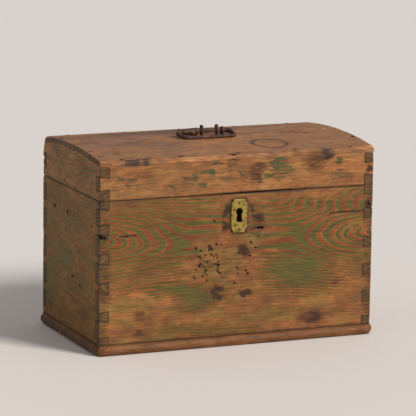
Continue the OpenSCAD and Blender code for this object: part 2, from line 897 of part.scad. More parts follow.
module lock_staple() {
    half = staple_w / 2;
    eye_y = bolt_t / 2 + tongue_room;
    eye_z = bolt_h / 2 + tongue_room;
    color("darkslategray")
        difference() {
            translate([-tongue_left, 0, 0])
                difference() {
                    union() {
                        block([-half, staple_front_y, lid_z],
                            [half, bolt_y + tongue_w / 2 + staple_t / 2, lid_z + staple_t]);
                        block([-tongue_t / 2, bolt_y - tongue_w / 2, bolt_z - eye_z - tongue_wall],
                            [tongue_t / 2, bolt_y + tongue_w / 2, lid_z + staple_t / 2]);
                    }
                    block([-tongue_t, bolt_y - eye_y, bolt_z - eye_z],
                        [tongue_t, bolt_y + eye_y, bolt_z + eye_z]);
                }
            at_staple_nails()
                nail_hole(tack_d, staple_t + overcut, tack_head_d);
        }
}

module staple_nails() {
    color("dimgray")
        at_staple_nails()
        nail(tack_d, staple_t + tack_bite - 2 * nail_head_h, tack_head_d);
}

// A tall ring with half-round top and foot, seen from the end of the box
module eye_outline(width, low, high) {
    for (z = [low + width / 2, high - width / 2])
        translate([0, z])
        circle(d = width);
    translate([-width / 2, low + width / 2])
        square([width, high - low - width]);
}

// A split pin: a tall eye, two legs side by side through the lid top, then clenched apart
module handle_eye(side) {
    outer_w = eye_room + 2 * eye_strip_t;
    foot = grip_gap;
    leg_z = -top_t - grip_gap;
    color("black")
        on_arch(handle_x + side * eye_spacing / 2, handle_angle)
        solid_along(eye_strip_w) {
            difference() {
                eye_outline(outer_w, foot, eye_h);
                eye_outline(eye_room, foot + eye_strip_t, eye_h - eye_strip_t);
            }
            translate([-eye_strip_t, leg_z - eye_strip_t])
                square([2 * eye_strip_t, -leg_z + eye_strip_t + foot + eye_strip_t / 2]);
            translate([-clench_l, leg_z - eye_strip_t])
                square([2 * clench_l, eye_strip_t]);
        }
}

module left_handle_eye() {
    handle_eye(-1);
}

module right_handle_eye() {
    handle_eye(1);
}

// A quarter bend of the loop, from its own X axis to its own Y axis
module loop_bend(wire_d) {
    rotate_extrude(angle = 90)
        translate([loop_bend_r, 0])
        circle(d = wire_d, $fn = wire_fn);
}

// A round bar along X, from one place and diameter to another
module loop_bar(x_from, x_to, d_from, d_to) {
    translate([x_from, 0, 0])
        rotate([0, 90, 0])
        cylinder(d1 = d_from, d2 = d_to, h = x_to - x_from, $fn = wire_fn);
}

// A shoulder along X from its collar to the bend: a revolved quarter of an ellipse
module loop_shoulder(length) {
    swell = (shoulder_d - loop_end_d) / 2;
    rotate([0, 90, 0])
        rotate_extrude($fn = wire_fn)
        polygon(concat([[0, 0]],
            [for (i = [0:shoulder_fn]) [loop_end_d / 2 + swell * cos(90 * i / shoulder_fn),
                length * sin(90 * i / shoulder_fn)]],
            [[0, length]]));
}

// The back bar: thin in the eyes, a collar outside each, then a shoulder that swells and tapers
module loop_back_bar() {
    loop_bar(-collar_x, collar_x, loop_bar_d, loop_bar_d);
    loop_bar(-collar_x - collar_l, -collar_x, collar_d, collar_d);
    loop_bar(collar_x, collar_x + collar_l, collar_d, collar_d);
    translate([collar_x + collar_l, 0, 0])
        loop_shoulder(right_shoulder_l);
    mirror([1, 0, 0])
        translate([collar_x + collar_l, 0, 0])
        loop_shoulder(left_shoulder_l);
}

// The end of the loop on one side: a thick bend, an arm that tapers, and a thin bend to the grip
module loop_end(bend_x) {
    arm_l = loop_reach - 2 * loop_bend_r;
    translate([bend_x, -loop_bend_r, 0])
        loop_bend(loop_end_d);
    translate([bend_x, loop_bend_r - loop_reach, 0])
        rotate([0, 0, -90])
        loop_bend(loop_grip_d);
    translate([bend_x + loop_bend_r, -loop_bend_r, 0])
        rotate([90, 0, 0])
        cylinder(d1 = loop_end_d, d2 = loop_grip_d, h = arm_l, $fn = wire_fn);
}

module handle_loop() {
    color("black")
        on_arch(handle_x, handle_angle)
        translate([0, 0, loop_bar_h])
        rotate([loop_droop, 0, 0]) {
            loop_back_bar();
            translate([0, -loop_reach, 0])
                loop_bar(left_bend_x, right_bend_x, loop_grip_d, loop_grip_d);
            loop_end(right_bend_x);
            mirror([1, 0, 0])
                loop_end(-left_bend_x);
        }
}

base_board();
front_board();
back_board();
left_end_board();
right_end_board();
base_nails();
escutcheon();
escutcheon_pins();
lock_plate();
lock_case();
lock_bolt();
lock_keepers();
lock_spring();
lock_key_pin();
lock_nails();
left_lower_hinge_strap();
right_lower_hinge_strap();
left_upper_hinge_strap();
right_upper_hinge_strap();
hinge_pins();
lower_hinge_nails();
upper_hinge_nails();
lid_front_rail();
lid_back_rail();
lid_left_end();
lid_right_end();
lid_top_board();
lid_top_nails();
lock_staple();
staple_nails();
left_handle_eye();
right_handle_eye();
handle_loop();
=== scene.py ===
"""Looks of a dovetailed pine money box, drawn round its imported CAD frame.

Boards are copies of their CAD pieces, worn on the arrises, pitted, cracked and painted by
position. Iron and brass are hammered copies. Nails are drawn by Geometry Nodes. Sizes in the
classes are millimetres in the frame of the CAD model; meshes are metres.
"""
import logging
import math
from dataclasses import dataclass
from enum import Enum
from typing import Sequence

import bmesh
import bpy
import numpy as np
from bmesh.types import BMesh, BMFace
from bpy.types import Material, Node, NodeSocket, NodeTree, Object, Scene
from mathutils import Matrix, Vector, noise
from mathutils.bvhtree import BVHTree


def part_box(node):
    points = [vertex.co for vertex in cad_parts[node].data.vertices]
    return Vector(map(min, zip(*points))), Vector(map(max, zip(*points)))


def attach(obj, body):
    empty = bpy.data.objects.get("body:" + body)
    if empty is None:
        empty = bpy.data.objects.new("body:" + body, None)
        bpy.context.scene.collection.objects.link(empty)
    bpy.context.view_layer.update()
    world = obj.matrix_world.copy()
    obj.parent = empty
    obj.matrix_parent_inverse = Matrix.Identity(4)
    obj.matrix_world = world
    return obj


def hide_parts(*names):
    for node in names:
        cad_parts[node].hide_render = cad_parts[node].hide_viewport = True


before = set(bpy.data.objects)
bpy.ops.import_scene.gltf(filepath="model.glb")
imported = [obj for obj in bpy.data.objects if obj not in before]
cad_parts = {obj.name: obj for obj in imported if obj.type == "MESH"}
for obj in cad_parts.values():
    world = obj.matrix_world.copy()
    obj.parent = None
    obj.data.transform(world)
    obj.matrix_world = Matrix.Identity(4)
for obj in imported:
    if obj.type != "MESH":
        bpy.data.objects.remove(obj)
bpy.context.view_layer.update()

LOG = logging.getLogger("money_box")

MM = 0.001
# The box's planes in mm: walls outside, base outside, walls inside, top of the base and both rims
HALF_W, HALF_D = 225.0, 122.5
BASE_W, BASE_D = 230.5, 128.0
IN_W, IN_D = 210.2, 107.7
BASE_TOP, RIM, LID_FOOT = 16.0, 235.0, 235.4
# The lid's arch in mm: its axis and its two radii. RADIAL stands for the way out from that axis
ARCH_Y, ARCH_Z, ARCH_R, ARCH_IN = 5.0, -614.624, 918.0, 910.0
RADIAL = 3
# Places in mm this close lie in one plane, and corners this close to a cut aren't cut
SAME, TINY = 0.01, 0.001

# Size of a fleck in mm along, through and across the grain. Real fibres are too fine to show, so
# they are drawn as wide as they need to be seen
FIBRE, DASH, SPECK = (30.0, 1.5, 1.5), (13.0, 2.6, 2.6), (6.0, 2.2, 2.2)
TONE, HUE, SMUDGE = (65.0, 34.0, 34.0), (40.0, 22.0, 22.0), (15.0, 8.0, 8.0)
SWAY, WAVER = (170.0, 45.0, 45.0), (40.0, 6.0, 6.0)

# Node types and settings that come many times
MATH, VECT, MIX = "ShaderNodeMath", "ShaderNodeVectorMath", "ShaderNodeMix"
NOISE, RANGE, JOIN = "ShaderNodeTexNoise", "ShaderNodeMapRange", "ShaderNodeCombineXYZ"
NAMED, ON_POINTS = "GeometryNodeInputNamedAttribute", "GeometryNodeInstanceOnPoints"
MUL_ADD, MULTIPLY = {"operation": "MULTIPLY_ADD"}, {"operation": "MULTIPLY"}
MINUS, ABSOLUTE = {"operation": "SUBTRACT"}, {"operation": "ABSOLUTE"}
SCALE, LENGTH = {"operation": "SCALE"}, {"operation": "LENGTH"}
RGBA, SMOOTH = {"data_type": "RGBA"}, {"interpolation_type": "SMOOTHSTEP"}
VECTOR = {"data_type": "FLOAT_VECTOR"}


def linear(code: str) -> tuple[float, float, float, float]:
    """Turns an sRGB colour into the linear RGBA that Blender's sockets take.

    Args:
        code: the colour as #rrggbb.

    Returns:
        Linear red, green, blue and a full alpha.
    """
    shares = [int(code[i:i + 2], 16) / 255.0 for i in (1, 3, 5)]
    r, g, b = (s / 12.92 if s <= 0.04045 else ((s + 0.055) / 1.055) ** 2.4 for s in shares)
    return (r, g, b, 1.0)


def add(tree: NodeTree, kind: str, links: dict, **settings: object) -> Node:
    """Adds one node, gives it its settings, and links or sets its inputs.

    Args:
        tree: the node tree it goes into.
        kind: the node's type.
        links: input name or number to a node, a socket or a plain value.
        settings: the node's own properties.

    Returns:
        The new node.
    """
    node = tree.nodes.new(kind)
    for name, value in settings.items():
        setattr(node, name, value)
    for key, value in links.items():
        if isinstance(key, int):
            socket = node.inputs[key]
        else:
            socket = next(s for s in node.inputs if s.name == key and s.enabled)
        if isinstance(value, Node):
            value = next(s for s in value.outputs if s.enabled)
        if isinstance(value, NodeSocket):
            tree.links.new(value, socket)
        else:
            socket.default_value = value
    return node


def ripple(s: np.ndarray, seed: float) -> np.ndarray:
    """A smooth uneven wave from about -1 to 1, at places along a length in mm."""
    return (0.5 * np.sin(s * 0.043 + seed) + 0.3 * np.sin(s * 0.117 + 2.1 * seed)
            + 0.25 * np.sin(s * 0.31 + 3.7 * seed))


def blotch(points: np.ndarray, scale: Sequence[float], seed: float) -> np.ndarray:
    """Smooth noise from about -1 to 1 at points in mm, in blotches of a size in mm on each axis."""
    rows = points / np.asarray(scale) + seed
    return np.array([noise.noise(Vector(r)) for r in rows])


# Finishes


def new_material(name: str) -> tuple[Material, NodeTree, Node]:
    """Starts a material.

    Args:
        name: its name.

    Returns:
        The material, its node tree and its shader.
    """
    mat = bpy.data.materials.new(name)
    mat.use_nodes = True
    return mat, mat.node_tree, mat.node_tree.nodes["Principled BSDF"]


class Layout(Enum):
    """Which axes run along the grain, through the board and across the grain."""

    UPRIGHT = (0, 1, 2)
    END = (1, 0, 2)
    FLAT = (0, 2, 1)


@dataclass(frozen=True)
class PineFinish:
    """Old pine: rings cut from a leaning tree, worn paint in the soft wood, soiling and painted shade,
    and wear.

    Gives the eye red late-wood lines that arch at the ends of a board, olive paint left between
    them, dark end grain on the joints and a paler inside.
    """

    name: str
    layout: Layout
    # Colours of soft and late wood, paint, stains, soiling and painted shade, sawn ends and the inside
    early: str = "#8c592e"
    gold: str = "#7d642e"
    late: str = "#83431a"
    paint: str = "#605a24"
    paint_dark: str = "#3f3b16"
    stain: str = "#30180d"
    soil_and_shade: str = "#1c110b"
    end_light: str = "#5e4526"
    end_dark: str = "#4a351b"
    inside_early: str = "#ab8257"
    inside_late: str = "#8b6039"
    # The trunk: the board's face and the heart in mm, its straight run, how it leans, sways and
    # bends, rings per mm, and how far apart good years lie in mm
    face: float = HALF_D
    heart: tuple[float, float, float] = (0.0, 38.0, 168.0)
    plateau: float = 85.0
    slope: float = 0.27
    tilt: float = -0.03
    wobble: float = 13.0
    rings: float = 0.19
    bend: float = 20.0
    spell: float = 16.0
    # How much lines show without paint, and how paint ends, breaks up and keeps off the lines
    plain_lines: float = 0.32
    soft_edge: float = 0.28
    break_up: float = 1.25
    keep_off: float = 1.4
    # A second heart, if the board has one: where it starts, how deep and how high, in mm
    twin: tuple[float, ...] = ()
    seed: float = 0.0
    rough: float = 0.62

    def build(self) -> Material:
        """Draws the material.

        Returns:
            The finished material.
        """
        mat, t, bsdf = new_material(self.name)
        where = add(t, "ShaderNodeTexCoord", {})
        mm = add(t, VECT, {0: where.outputs["Object"], "Scale": 1.0 / MM}, **SCALE)
        axes = add(t, "ShaderNodeSeparateXYZ", {0: mm})
        along, depth, across = (axes.outputs[i] for i in self.layout.value)
        local = add(t, JOIN, {0: along, 1: depth, 2: across})
        late = self._rings(t, local, along, depth, across)
        fibre = self._stretched(t, local, FIBRE, 3.0, 7.3)
        tone = self._stretched(t, local, TONE, 2.0, 3.1)
        dash = self._stretched(t, local, DASH, 2.0, 5.7)
        marks = add(t, "ShaderNodeAttribute", {}, attribute_name="finish")
        mask = add(t, "ShaderNodeSeparateColor", {0: marks.outputs["Color"]})

        # Bare wood: soft wood of two hues, red late-wood lines, streaks and clouds
        strong = add(t, RANGE, {0: mask.outputs[0], 1: 0.1, 2: 0.5, 3: self.plain_lines, 4: 1.0})
        lines = add(t, MATH, {0: late, 1: strong}, **MULTIPLY)
        hue = self._stretched(t, local, HUE, 2.0, 11.3)
        hue = add(t, RANGE, {0: hue, 1: 0.4, 2: 0.62, 3: 0.0, 4: 0.85})
        soft = add(t, MIX, {"Factor": hue, "A": linear(self.early), "B": linear(self.gold)}, **RGBA)
        wood = add(t, MIX, {"Factor": lines, "A": soft, "B": linear(self.late)}, **RGBA)
        bare = add(t, MIX, {"Factor": lines, "A": linear(self.inside_early),
                            "B": linear(self.inside_late)}, **RGBA)
        smudge = self._stretched(t, local, SMUDGE, 4.0, 13.7)
        smudge = add(t, RANGE, {0: smudge, 1: 0.3, 2: 0.7, 3: 0.74, 4: 1.2})
        streak = add(t, RANGE, {0: fibre, 1: 0.3, 2: 0.7, 3: 0.7, 4: 1.24})
        cloud = add(t, RANGE, {0: tone, 1: 0.3, 2: 0.7, 3: 0.74, 4: 1.2})
        cloud = add(t, MATH, {0: smudge, 1: cloud}, **MULTIPLY)
        value = add(t, MATH, {0: streak, 1: cloud}, **MULTIPLY)
        wood = add(t, VECT, {0: wood, "Scale": value}, **SCALE)
        bare = add(t, VECT, {0: bare, "Scale": value}, **SCALE)

        # Paint, kept between the lines and broken up along the grain
        level = -0.85 - 0.5 * self.break_up
        cover = add(t, MATH, {0: mask.outputs[0], 1: 2.1, 2: level}, **MUL_ADD)
        fringe = add(t, MATH, {0: late, 1: 0.45}, operation="POWER")
        cover = add(t, MATH, {0: fringe, 1: -self.keep_off, 2: cover}, **MUL_ADD)
        cover = add(t, MATH, {0: dash, 1: self.break_up, 2: cover}, **MUL_ADD)
        cover = add(t, MATH, {0: fibre, 1: 0.9, 2: cover}, **MUL_ADD)
        paint = add(t, RANGE, {0: cover, 1: 0.0, 2: self.soft_edge, 3: 0.0, 4: 0.9}, **SMOOTH)
        green = add(t, MIX, {"Factor": tone, "A": linear(self.paint),
                             "B": linear(self.paint_dark)}, **RGBA)
        worn = add(t, RANGE, {0: fibre, 1: 0.32, 2: 0.68, 3: 0.62, 4: 1.36})
        green = add(t, VECT, {0: green, "Scale": worn}, **SCALE)
        colour = add(t, MIX, {"Factor": paint, "A": wood, "B": green}, **RGBA)

        # Stains that soaked in unevenly, and specks
        soak = add(t, MATH, {0: dash, 1: 0.9, 2: -0.45}, **MUL_ADD)
        soak = add(t, MATH, {0: mask.outputs[1], 1: soak}, operation="ADD")
        soak = add(t, RANGE, {0: soak, 1: 0.1, 2: 0.95, 3: 0.0, 4: 0.9}, **SMOOTH)
        colour = add(t, MIX, {"Factor": soak, "A": colour, "B": linear(self.stain)}, **RGBA)
        speck = self._stretched(t, local, SPECK, 2.0, 17.9)
        fleck = add(t, RANGE, {0: speck, 1: 0.66, 2: 0.76, 3: 0.0, 4: 0.6})
        colour = add(t, MIX, {"Factor": fleck, "A": colour, "B": linear(self.stain)}, **RGBA)

        # Sawn ends, the bare inside, and soiling and painted shade over all of it
        facing = add(t, "ShaderNodeSeparateXYZ", {0: where.outputs["Normal"]})
        end = add(t, MATH, {0: facing.outputs[self.layout.value[0]]}, **ABSOLUTE)
        end = add(t, RANGE, {0: end, 1: 0.55, 2: 0.9, 3: 0.0, 4: 0.92})
        sawn = add(t, MIX, {"Factor": late, "A": linear(self.end_light),
                            "B": linear(self.end_dark)}, **RGBA)
        sawn = add(t, VECT, {0: sawn, "Scale": cloud}, **SCALE)
        colour = add(t, MIX, {"Factor": end, "A": colour, "B": sawn}, **RGBA)
        colour = add(t, MIX, {"Factor": marks.outputs["Alpha"], "A": colour, "B": bare}, **RGBA)
        colour = add(t, MIX, {"Factor": mask.outputs[2], "A": colour, "B": linear(self.soil_and_shade)}, **RGBA)
        t.links.new(colour.outputs[2], bsdf.inputs["Base Color"])

        # Dull sheen, and relief of lines, fibres and paint
        bsdf.inputs["Specular IOR Level"].default_value = 0.28
        rough = add(t, MATH, {0: fibre, 1: 0.2, 2: self.rough - 0.1}, **MUL_ADD)
        rough = add(t, MATH, {0: paint, 1: -0.1, 2: rough}, **MUL_ADD)
        t.links.new(rough.outputs[0], bsdf.inputs["Roughness"])
        height = add(t, MATH, {0: late, 1: 0.5, 2: fibre}, **MUL_ADD)
        height = add(t, MATH, {0: paint, 1: 0.25, 2: height}, **MUL_ADD)
        bump = add(t, "ShaderNodeBump", {"Strength": 0.55, "Distance": 0.6 * MM, "Height": height})
        t.links.new(bump.outputs[0], bsdf.inputs["Normal"])
        return mat

    def _stretched(self, t: NodeTree, local: Node, size: tuple[float, float, float], detail: float,
                   shift: float) -> Node:
        """Noise in flecks of a size in mm; the shift keeps two noises of one board apart."""
        place = add(t, VECT, {0: local, 1: tuple(1.0 / s for s in size),
                              2: (self.seed + shift,) * 3}, **MUL_ADD)
        return add(t, NOISE, {"Vector": place, "Scale": 1.0, "Detail": detail})

    def _rings(self, t: NodeTree, local: Node, along: NodeSocket, depth: NodeSocket,
               across: NodeSocket) -> Node:
        """Year rings of a trunk that curves towards the board at both ends.

        Args:
            t: the material's tree.
            local: the place in mm, along, through and across.
            along: mm along the grain.
            depth: mm through the board.
            across: mm across the grain.

        Returns:
            How much late wood there is, from 0 to 1.
        """
        middle, deep, rise = self.heart
        sway = self._stretched(t, local, SWAY, 2.0, 0.0)
        sways = add(t, "ShaderNodeSeparateColor", {0: sway.outputs["Color"]})
        away = add(t, MATH, {0: along, 1: middle}, **MINUS)
        away = add(t, MATH, {0: away}, **ABSOLUTE)
        past = add(t, MATH, {0: away, 1: self.plateau}, **MINUS)
        past = add(t, MATH, {0: past, 1: 0.0}, operation="MAXIMUM")
        spread = add(t, VECT, {0: add(t, JOIN, {0: past, 1: self.bend})}, **LENGTH)
        lie = add(t, MATH, {0: spread.outputs["Value"], 1: -self.slope,
                            2: deep + self.bend * self.slope - 0.5 * self.wobble}, **MUL_ADD)
        sunk = add(t, MATH, {0: add(t, MATH, {0: depth}, **ABSOLUTE), 1: self.face}, **MINUS)
        lie = add(t, MATH, {0: sunk, 1: 0.35, 2: lie}, **MUL_ADD)
        lie = add(t, MATH, {0: sways.outputs[0], 1: self.wobble, 2: lie}, **MUL_ADD)
        off = add(t, MATH, {0: along, 1: -self.tilt, 2: across}, **MUL_ADD)
        off = add(t, MATH, {0: off, 1: rise + 0.5 * self.wobble}, **MINUS)
        off = add(t, MATH, {0: sways.outputs[1], 1: self.wobble, 2: off}, **MUL_ADD)
        radius = add(t, VECT, {0: add(t, JOIN, {0: lie, 1: off})}, **LENGTH).outputs["Value"]
        if self.twin:
            begin, twin_deep, twin_rise = self.twin
            low = add(t, MATH, {0: along, 1: -self.slope, 2: twin_deep + begin * self.slope}, **MUL_ADD)
            apart = add(t, MATH, {0: off, 1: twin_rise - rise}, **MINUS)
            other = add(t, VECT, {0: add(t, JOIN, {0: low, 1: apart})}, **LENGTH)
            radius = add(t, MATH, {0: radius, 1: other.outputs["Value"], 2: 6.0},
                         operation="SMOOTH_MIN")
        years = add(t, MATH, {0: radius, 1: 1.0 / self.spell}, **MULTIPLY)
        year = add(t, NOISE, {"W": years, "Scale": 1.0, "Detail": 1.0}, noise_dimensions="1D")
        fine = self._stretched(t, local, WAVER, 2.0, 1.9)
        grown = add(t, MATH, {0: year, 1: 6.0, 2: radius}, **MUL_ADD)
        grown = add(t, MATH, {0: fine, 1: 1.6, 2: grown}, **MUL_ADD)
        rate = add(t, MATH, {0: grown, 1: 0.00025, 2: self.rings}, **MUL_ADD)
        turn = add(t, MATH, {0: add(t, MATH, {0: rate, 1: grown}, **MULTIPLY)}, operation="FRACT")
        start = add(t, RANGE, {0: turn, 1: 0.3, 2: 0.8, 3: 0.0, 4: 1.0}, **SMOOTH)
        stop = add(t, RANGE, {0: turn, 1: 0.9, 2: 1.0, 3: 1.0, 4: 0.0}, **SMOOTH)
        return add(t, MATH, {0: start, 1: stop}, **MULTIPLY)


@dataclass(frozen=True)
class MetalFinish:
    """Old metal: a base colour broken by a second one, with a pitted skin.

    Gives the eye brown forged iron with rust, or thin brass dulled by handling.
    """

    name: str
    colour: str
    worn: str
    metallic: float
    rough: float
    # Size in mm of a patch of the second colour, how deep the pits look, and where patches fade
    patch: float
    pitting: float
    share: tuple[float, float] = (0.45, 0.65)
    seed: float = 0.0

    def build(self) -> Material:
        """Draws the material.

        Returns:
            The finished material.
        """
        mat, t, bsdf = new_material(self.name)
        where = add(t, "ShaderNodeTexCoord", {})
        mm = add(t, VECT, {0: where.outputs["Object"], 1: (1.0 / MM,) * 3, 2: (self.seed,) * 3},
                 **MUL_ADD)
        cloud = add(t, NOISE, {"Vector": mm, "Scale": 1.0 / self.patch, "Detail": 4.0})
        # Pits about 1 mm wide, coarser than real ones, which are too fine to show
        grain = add(t, NOISE, {"Vector": mm, "Scale": 1.1, "Detail": 3.0})
        share = add(t, RANGE, {0: cloud, 1: self.share[0], 2: self.share[1], 3: 0.0, 4: 1.0}, **SMOOTH)
        colour = add(t, MIX, {"Factor": share, "A": linear(self.colour), "B": linear(self.worn)}, **RGBA)
        t.links.new(colour.outputs[2], bsdf.inputs["Base Color"])
        bsdf.inputs["Metallic"].default_value = self.metallic
        rough = add(t, MATH, {0: grain, 1: 0.25, 2: self.rough - 0.12}, **MUL_ADD)
        t.links.new(rough.outputs[0], bsdf.inputs["Roughness"])
        bump = add(t, "ShaderNodeBump", {"Strength": self.pitting, "Distance": 0.4 * MM,
                                         "Height": grain})
        t.links.new(bump.outputs[0], bsdf.inputs["Normal"])
        return mat


@dataclass(frozen=True)
class PlainFinish:
    """One plain colour, for the depth of a hole, an old break or the floor."""

    name: str
    colour: str
    rough: float = 0.9
    shine: float = 0.5

    def build(self) -> Material:
        """Draws the material.

        Returns:
            The finished material.
        """
        mat, _, bsdf = new_material(self.name)
        bsdf.inputs["Base Color"].default_value = linear(self.colour)
        bsdf.inputs["Roughness"].default_value = self.rough
        bsdf.inputs["Specular IOR Level"].default_value = self.shine
        return mat


# Mesh work


def make(name: str, bm: BMesh, *mats: Material) -> Object:
    """Puts a bmesh into the scene as an object at the origin.

    Args:
        name: the object's name.
        bm: its mesh, which is freed.
        mats: its materials.

    Returns:
        The new object.
    """
    mesh = bpy.data.meshes.new(name)
    bm.to_mesh(mesh)
    bm.free()
    for mat in mats:
        mesh.materials.append(mat)
    obj = bpy.data.objects.new(name, mesh)
    bpy.context.scene.collection.objects.link(obj)
    return obj


def copy_of(node: str, scale: float = 1.0 / MM) -> BMesh:
    """A clean copy of a CAD piece in mm: joined corners and whole faces.

    Args:
        node: the CAD node.
        scale: from metres to the copy's unit.

    Returns:
        The copy.
    """
    bm = bmesh.new()
    bm.from_mesh(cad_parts[node].data)
    bmesh.ops.scale(bm, vec=(scale,) * 3, verts=bm.verts)
    bmesh.ops.remove_doubles(bm, verts=bm.verts, dist=2e-3)
    bmesh.ops.dissolve_limit(bm, angle_limit=math.radians(0.05), verts=bm.verts, edges=bm.edges)
    return bm


def slice_at(bm: BMesh, axis: int, places: Sequence[float]) -> None:
    """Cuts new edges where planes across an axis pass through the mesh.

    Args:
        bm: the mesh.
        axis: 0, 1 or 2.
        places: where the planes lie on that axis.
    """
    across = Vector((0.0, 0.0, 0.0))
    across[axis] = 1.0
    pool = list(bm.faces)
    for place in sorted(places):
        ahead = [(f, min(v.co[axis] for v in f.verts)) for f in pool
                 if max(v.co[axis] for v in f.verts) > place + TINY]
        faces = [f for f, low in ahead if low < place - TINY]
        edges = dict.fromkeys(e for f in faces for e in f.edges)
        verts = dict.fromkeys(v for f in faces for v in f.verts)
        cut = bmesh.ops.bisect_plane(bm, geom=faces + list(edges) + list(verts), dist=1e-4,
                                     plane_co=across * place, plane_no=across)
        pool = [f for f, low in ahead if low >= place - TINY]
        pool += [f for f in cut["geom"] if isinstance(f, BMFace)]


def evaluated(obj: Object) -> None:
    """Turns an object's modifiers into plain mesh.

    Args:
        obj: the object, which keeps its name and materials.
    """
    graph = bpy.context.evaluated_depsgraph_get()
    mesh = bpy.data.meshes.new_from_object(obj.evaluated_get(graph))
    obj.modifiers.clear()
    old, obj.data = obj.data, mesh
    mesh.name = obj.name
    bpy.data.meshes.remove(old)


def cut_away(obj: Object, cutter: Object) -> None:
    """Cuts one object out of another.

    Args:
        obj: the piece, which takes the cutter's material where it is cut.
        cutter: what is cut away, used up.
    """
    mod = obj.modifiers.new("cut", "BOOLEAN")
    mod.operation, mod.solver = "DIFFERENCE", "MANIFOLD"
    mod.object, mod.material_mode = cutter, "TRANSFER"
    evaluated(obj)
    bpy.data.objects.remove(cutter)


def shade(obj: Object, angle: float) -> None:
    """Smooth shading, with edges above an angle in degrees kept sharp."""
    obj.data.shade_smooth()
    obj.data.set_sharp_from_angle(angle=math.radians(angle))


def place_piece(obj: Object, body: str, slot: str, *nodes: str) -> None:
    """Hands a finished piece to the frame.

    Args:
        obj: the piece.
        body: the CAD body it rides on.
        slot: the name of its material slot; not used.
        nodes: the CAD nodes it stands for.
    """
    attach(obj, body)
    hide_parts(*nodes)
    LOG.info("%s: %d faces", obj.name, len(obj.data.polygons))


@dataclass(frozen=True)
class Arris:
    """A long edge of the box, worn round.

    Holds its two faces as axis, side and place, the wear, and where the wear swells: the place,
    its reach and the extra radius.
    """

    first: tuple[int, int, float]
    second: tuple[int, int, float]
    radius: float
    uneven: float
    seed: float = 0.0
    swell: tuple[float, float, float] = (0.0, 1.0, 0.0)

    def wear(self, p: np.ndarray) -> None:
        """Moves points near the edge onto its rounding.

        Args:
            p: points in mm, one row each, changed in place.
        """
        run = ({0, 1, 2} - {self.first[0], self.second[0]}).pop()
        s = p[:, run]
        place, reach, extra = self.swell
        r = (self.radius + self.uneven * np.clip(ripple(s, self.seed) + 0.2, 0, None) ** 2
             + extra * np.exp(-((s - place) / reach) ** 2))
        u, v = (r + self._beyond(p, f) for f in (self.first, self.second))
        span = np.hypot(u, v)
        near = (u > 0) & (v > 0) & (span > r)
        pull = np.where(near, 1.0 - r / np.maximum(span, 1e-9), 0.0)
        self._shift(p, self.first, -u * pull)
        self._shift(p, self.second, -v * pull)

    @staticmethod
    def _beyond(p: np.ndarray, face: tuple[int, int, float]) -> np.ndarray:
        """How far points lie outside a face.

        Args:
            p: points in mm.
            face: its axis, side and place.

        Returns:
            The distance in mm, negative inside.
        """
        axis, side, place = face
        if axis == RADIAL:
            return np.hypot(p[:, 1] - ARCH_Y, p[:, 2] - ARCH_Z) - place
        return side * p[:, axis] - place

    @staticmethod
    def _shift(p: np.ndarray, face: tuple[int, int, float], by: np.ndarray) -> None:
        """Moves points outwards along a face's normal.

        Args:
            p: points in mm, changed in place.
            face: its axis, side and place.
            by: how far in mm.
        """
        axis, side, _ = face
        if axis == RADIAL:
            out = p[:, 1:] - np.array([ARCH_Y, ARCH_Z])
            p[:, 1:] += out / np.linalg.norm(out, axis=1, keepdims=True) * by[:, None]
        else:
            p[:, axis] += side * by


@dataclass(frozen=True)
class Patch:
    """A soft oval on a board's face: middle and half sizes in mm, and strength."""

    along: float
    across: float
    half_along: float
    half_across: float
    amount: float

    def at(self, a: np.ndarray, c: np.ndarray) -> np.ndarray:
        """Strength at places in mm along and across the grain, fading to 0 at the oval's edge."""
        far = np.hypot((a - self.along) / self.half_along, (c - self.across) / self.half_across)
        return self.amount * np.clip(1.4 * (1.0 - far), 0.0, 1.0)


def patches(*rows: tuple[float, float, float, float, float]) -> tuple[Patch, ...]:
    """Patches from rows of their five numbers."""
    return tuple(Patch(*row) for row in rows)


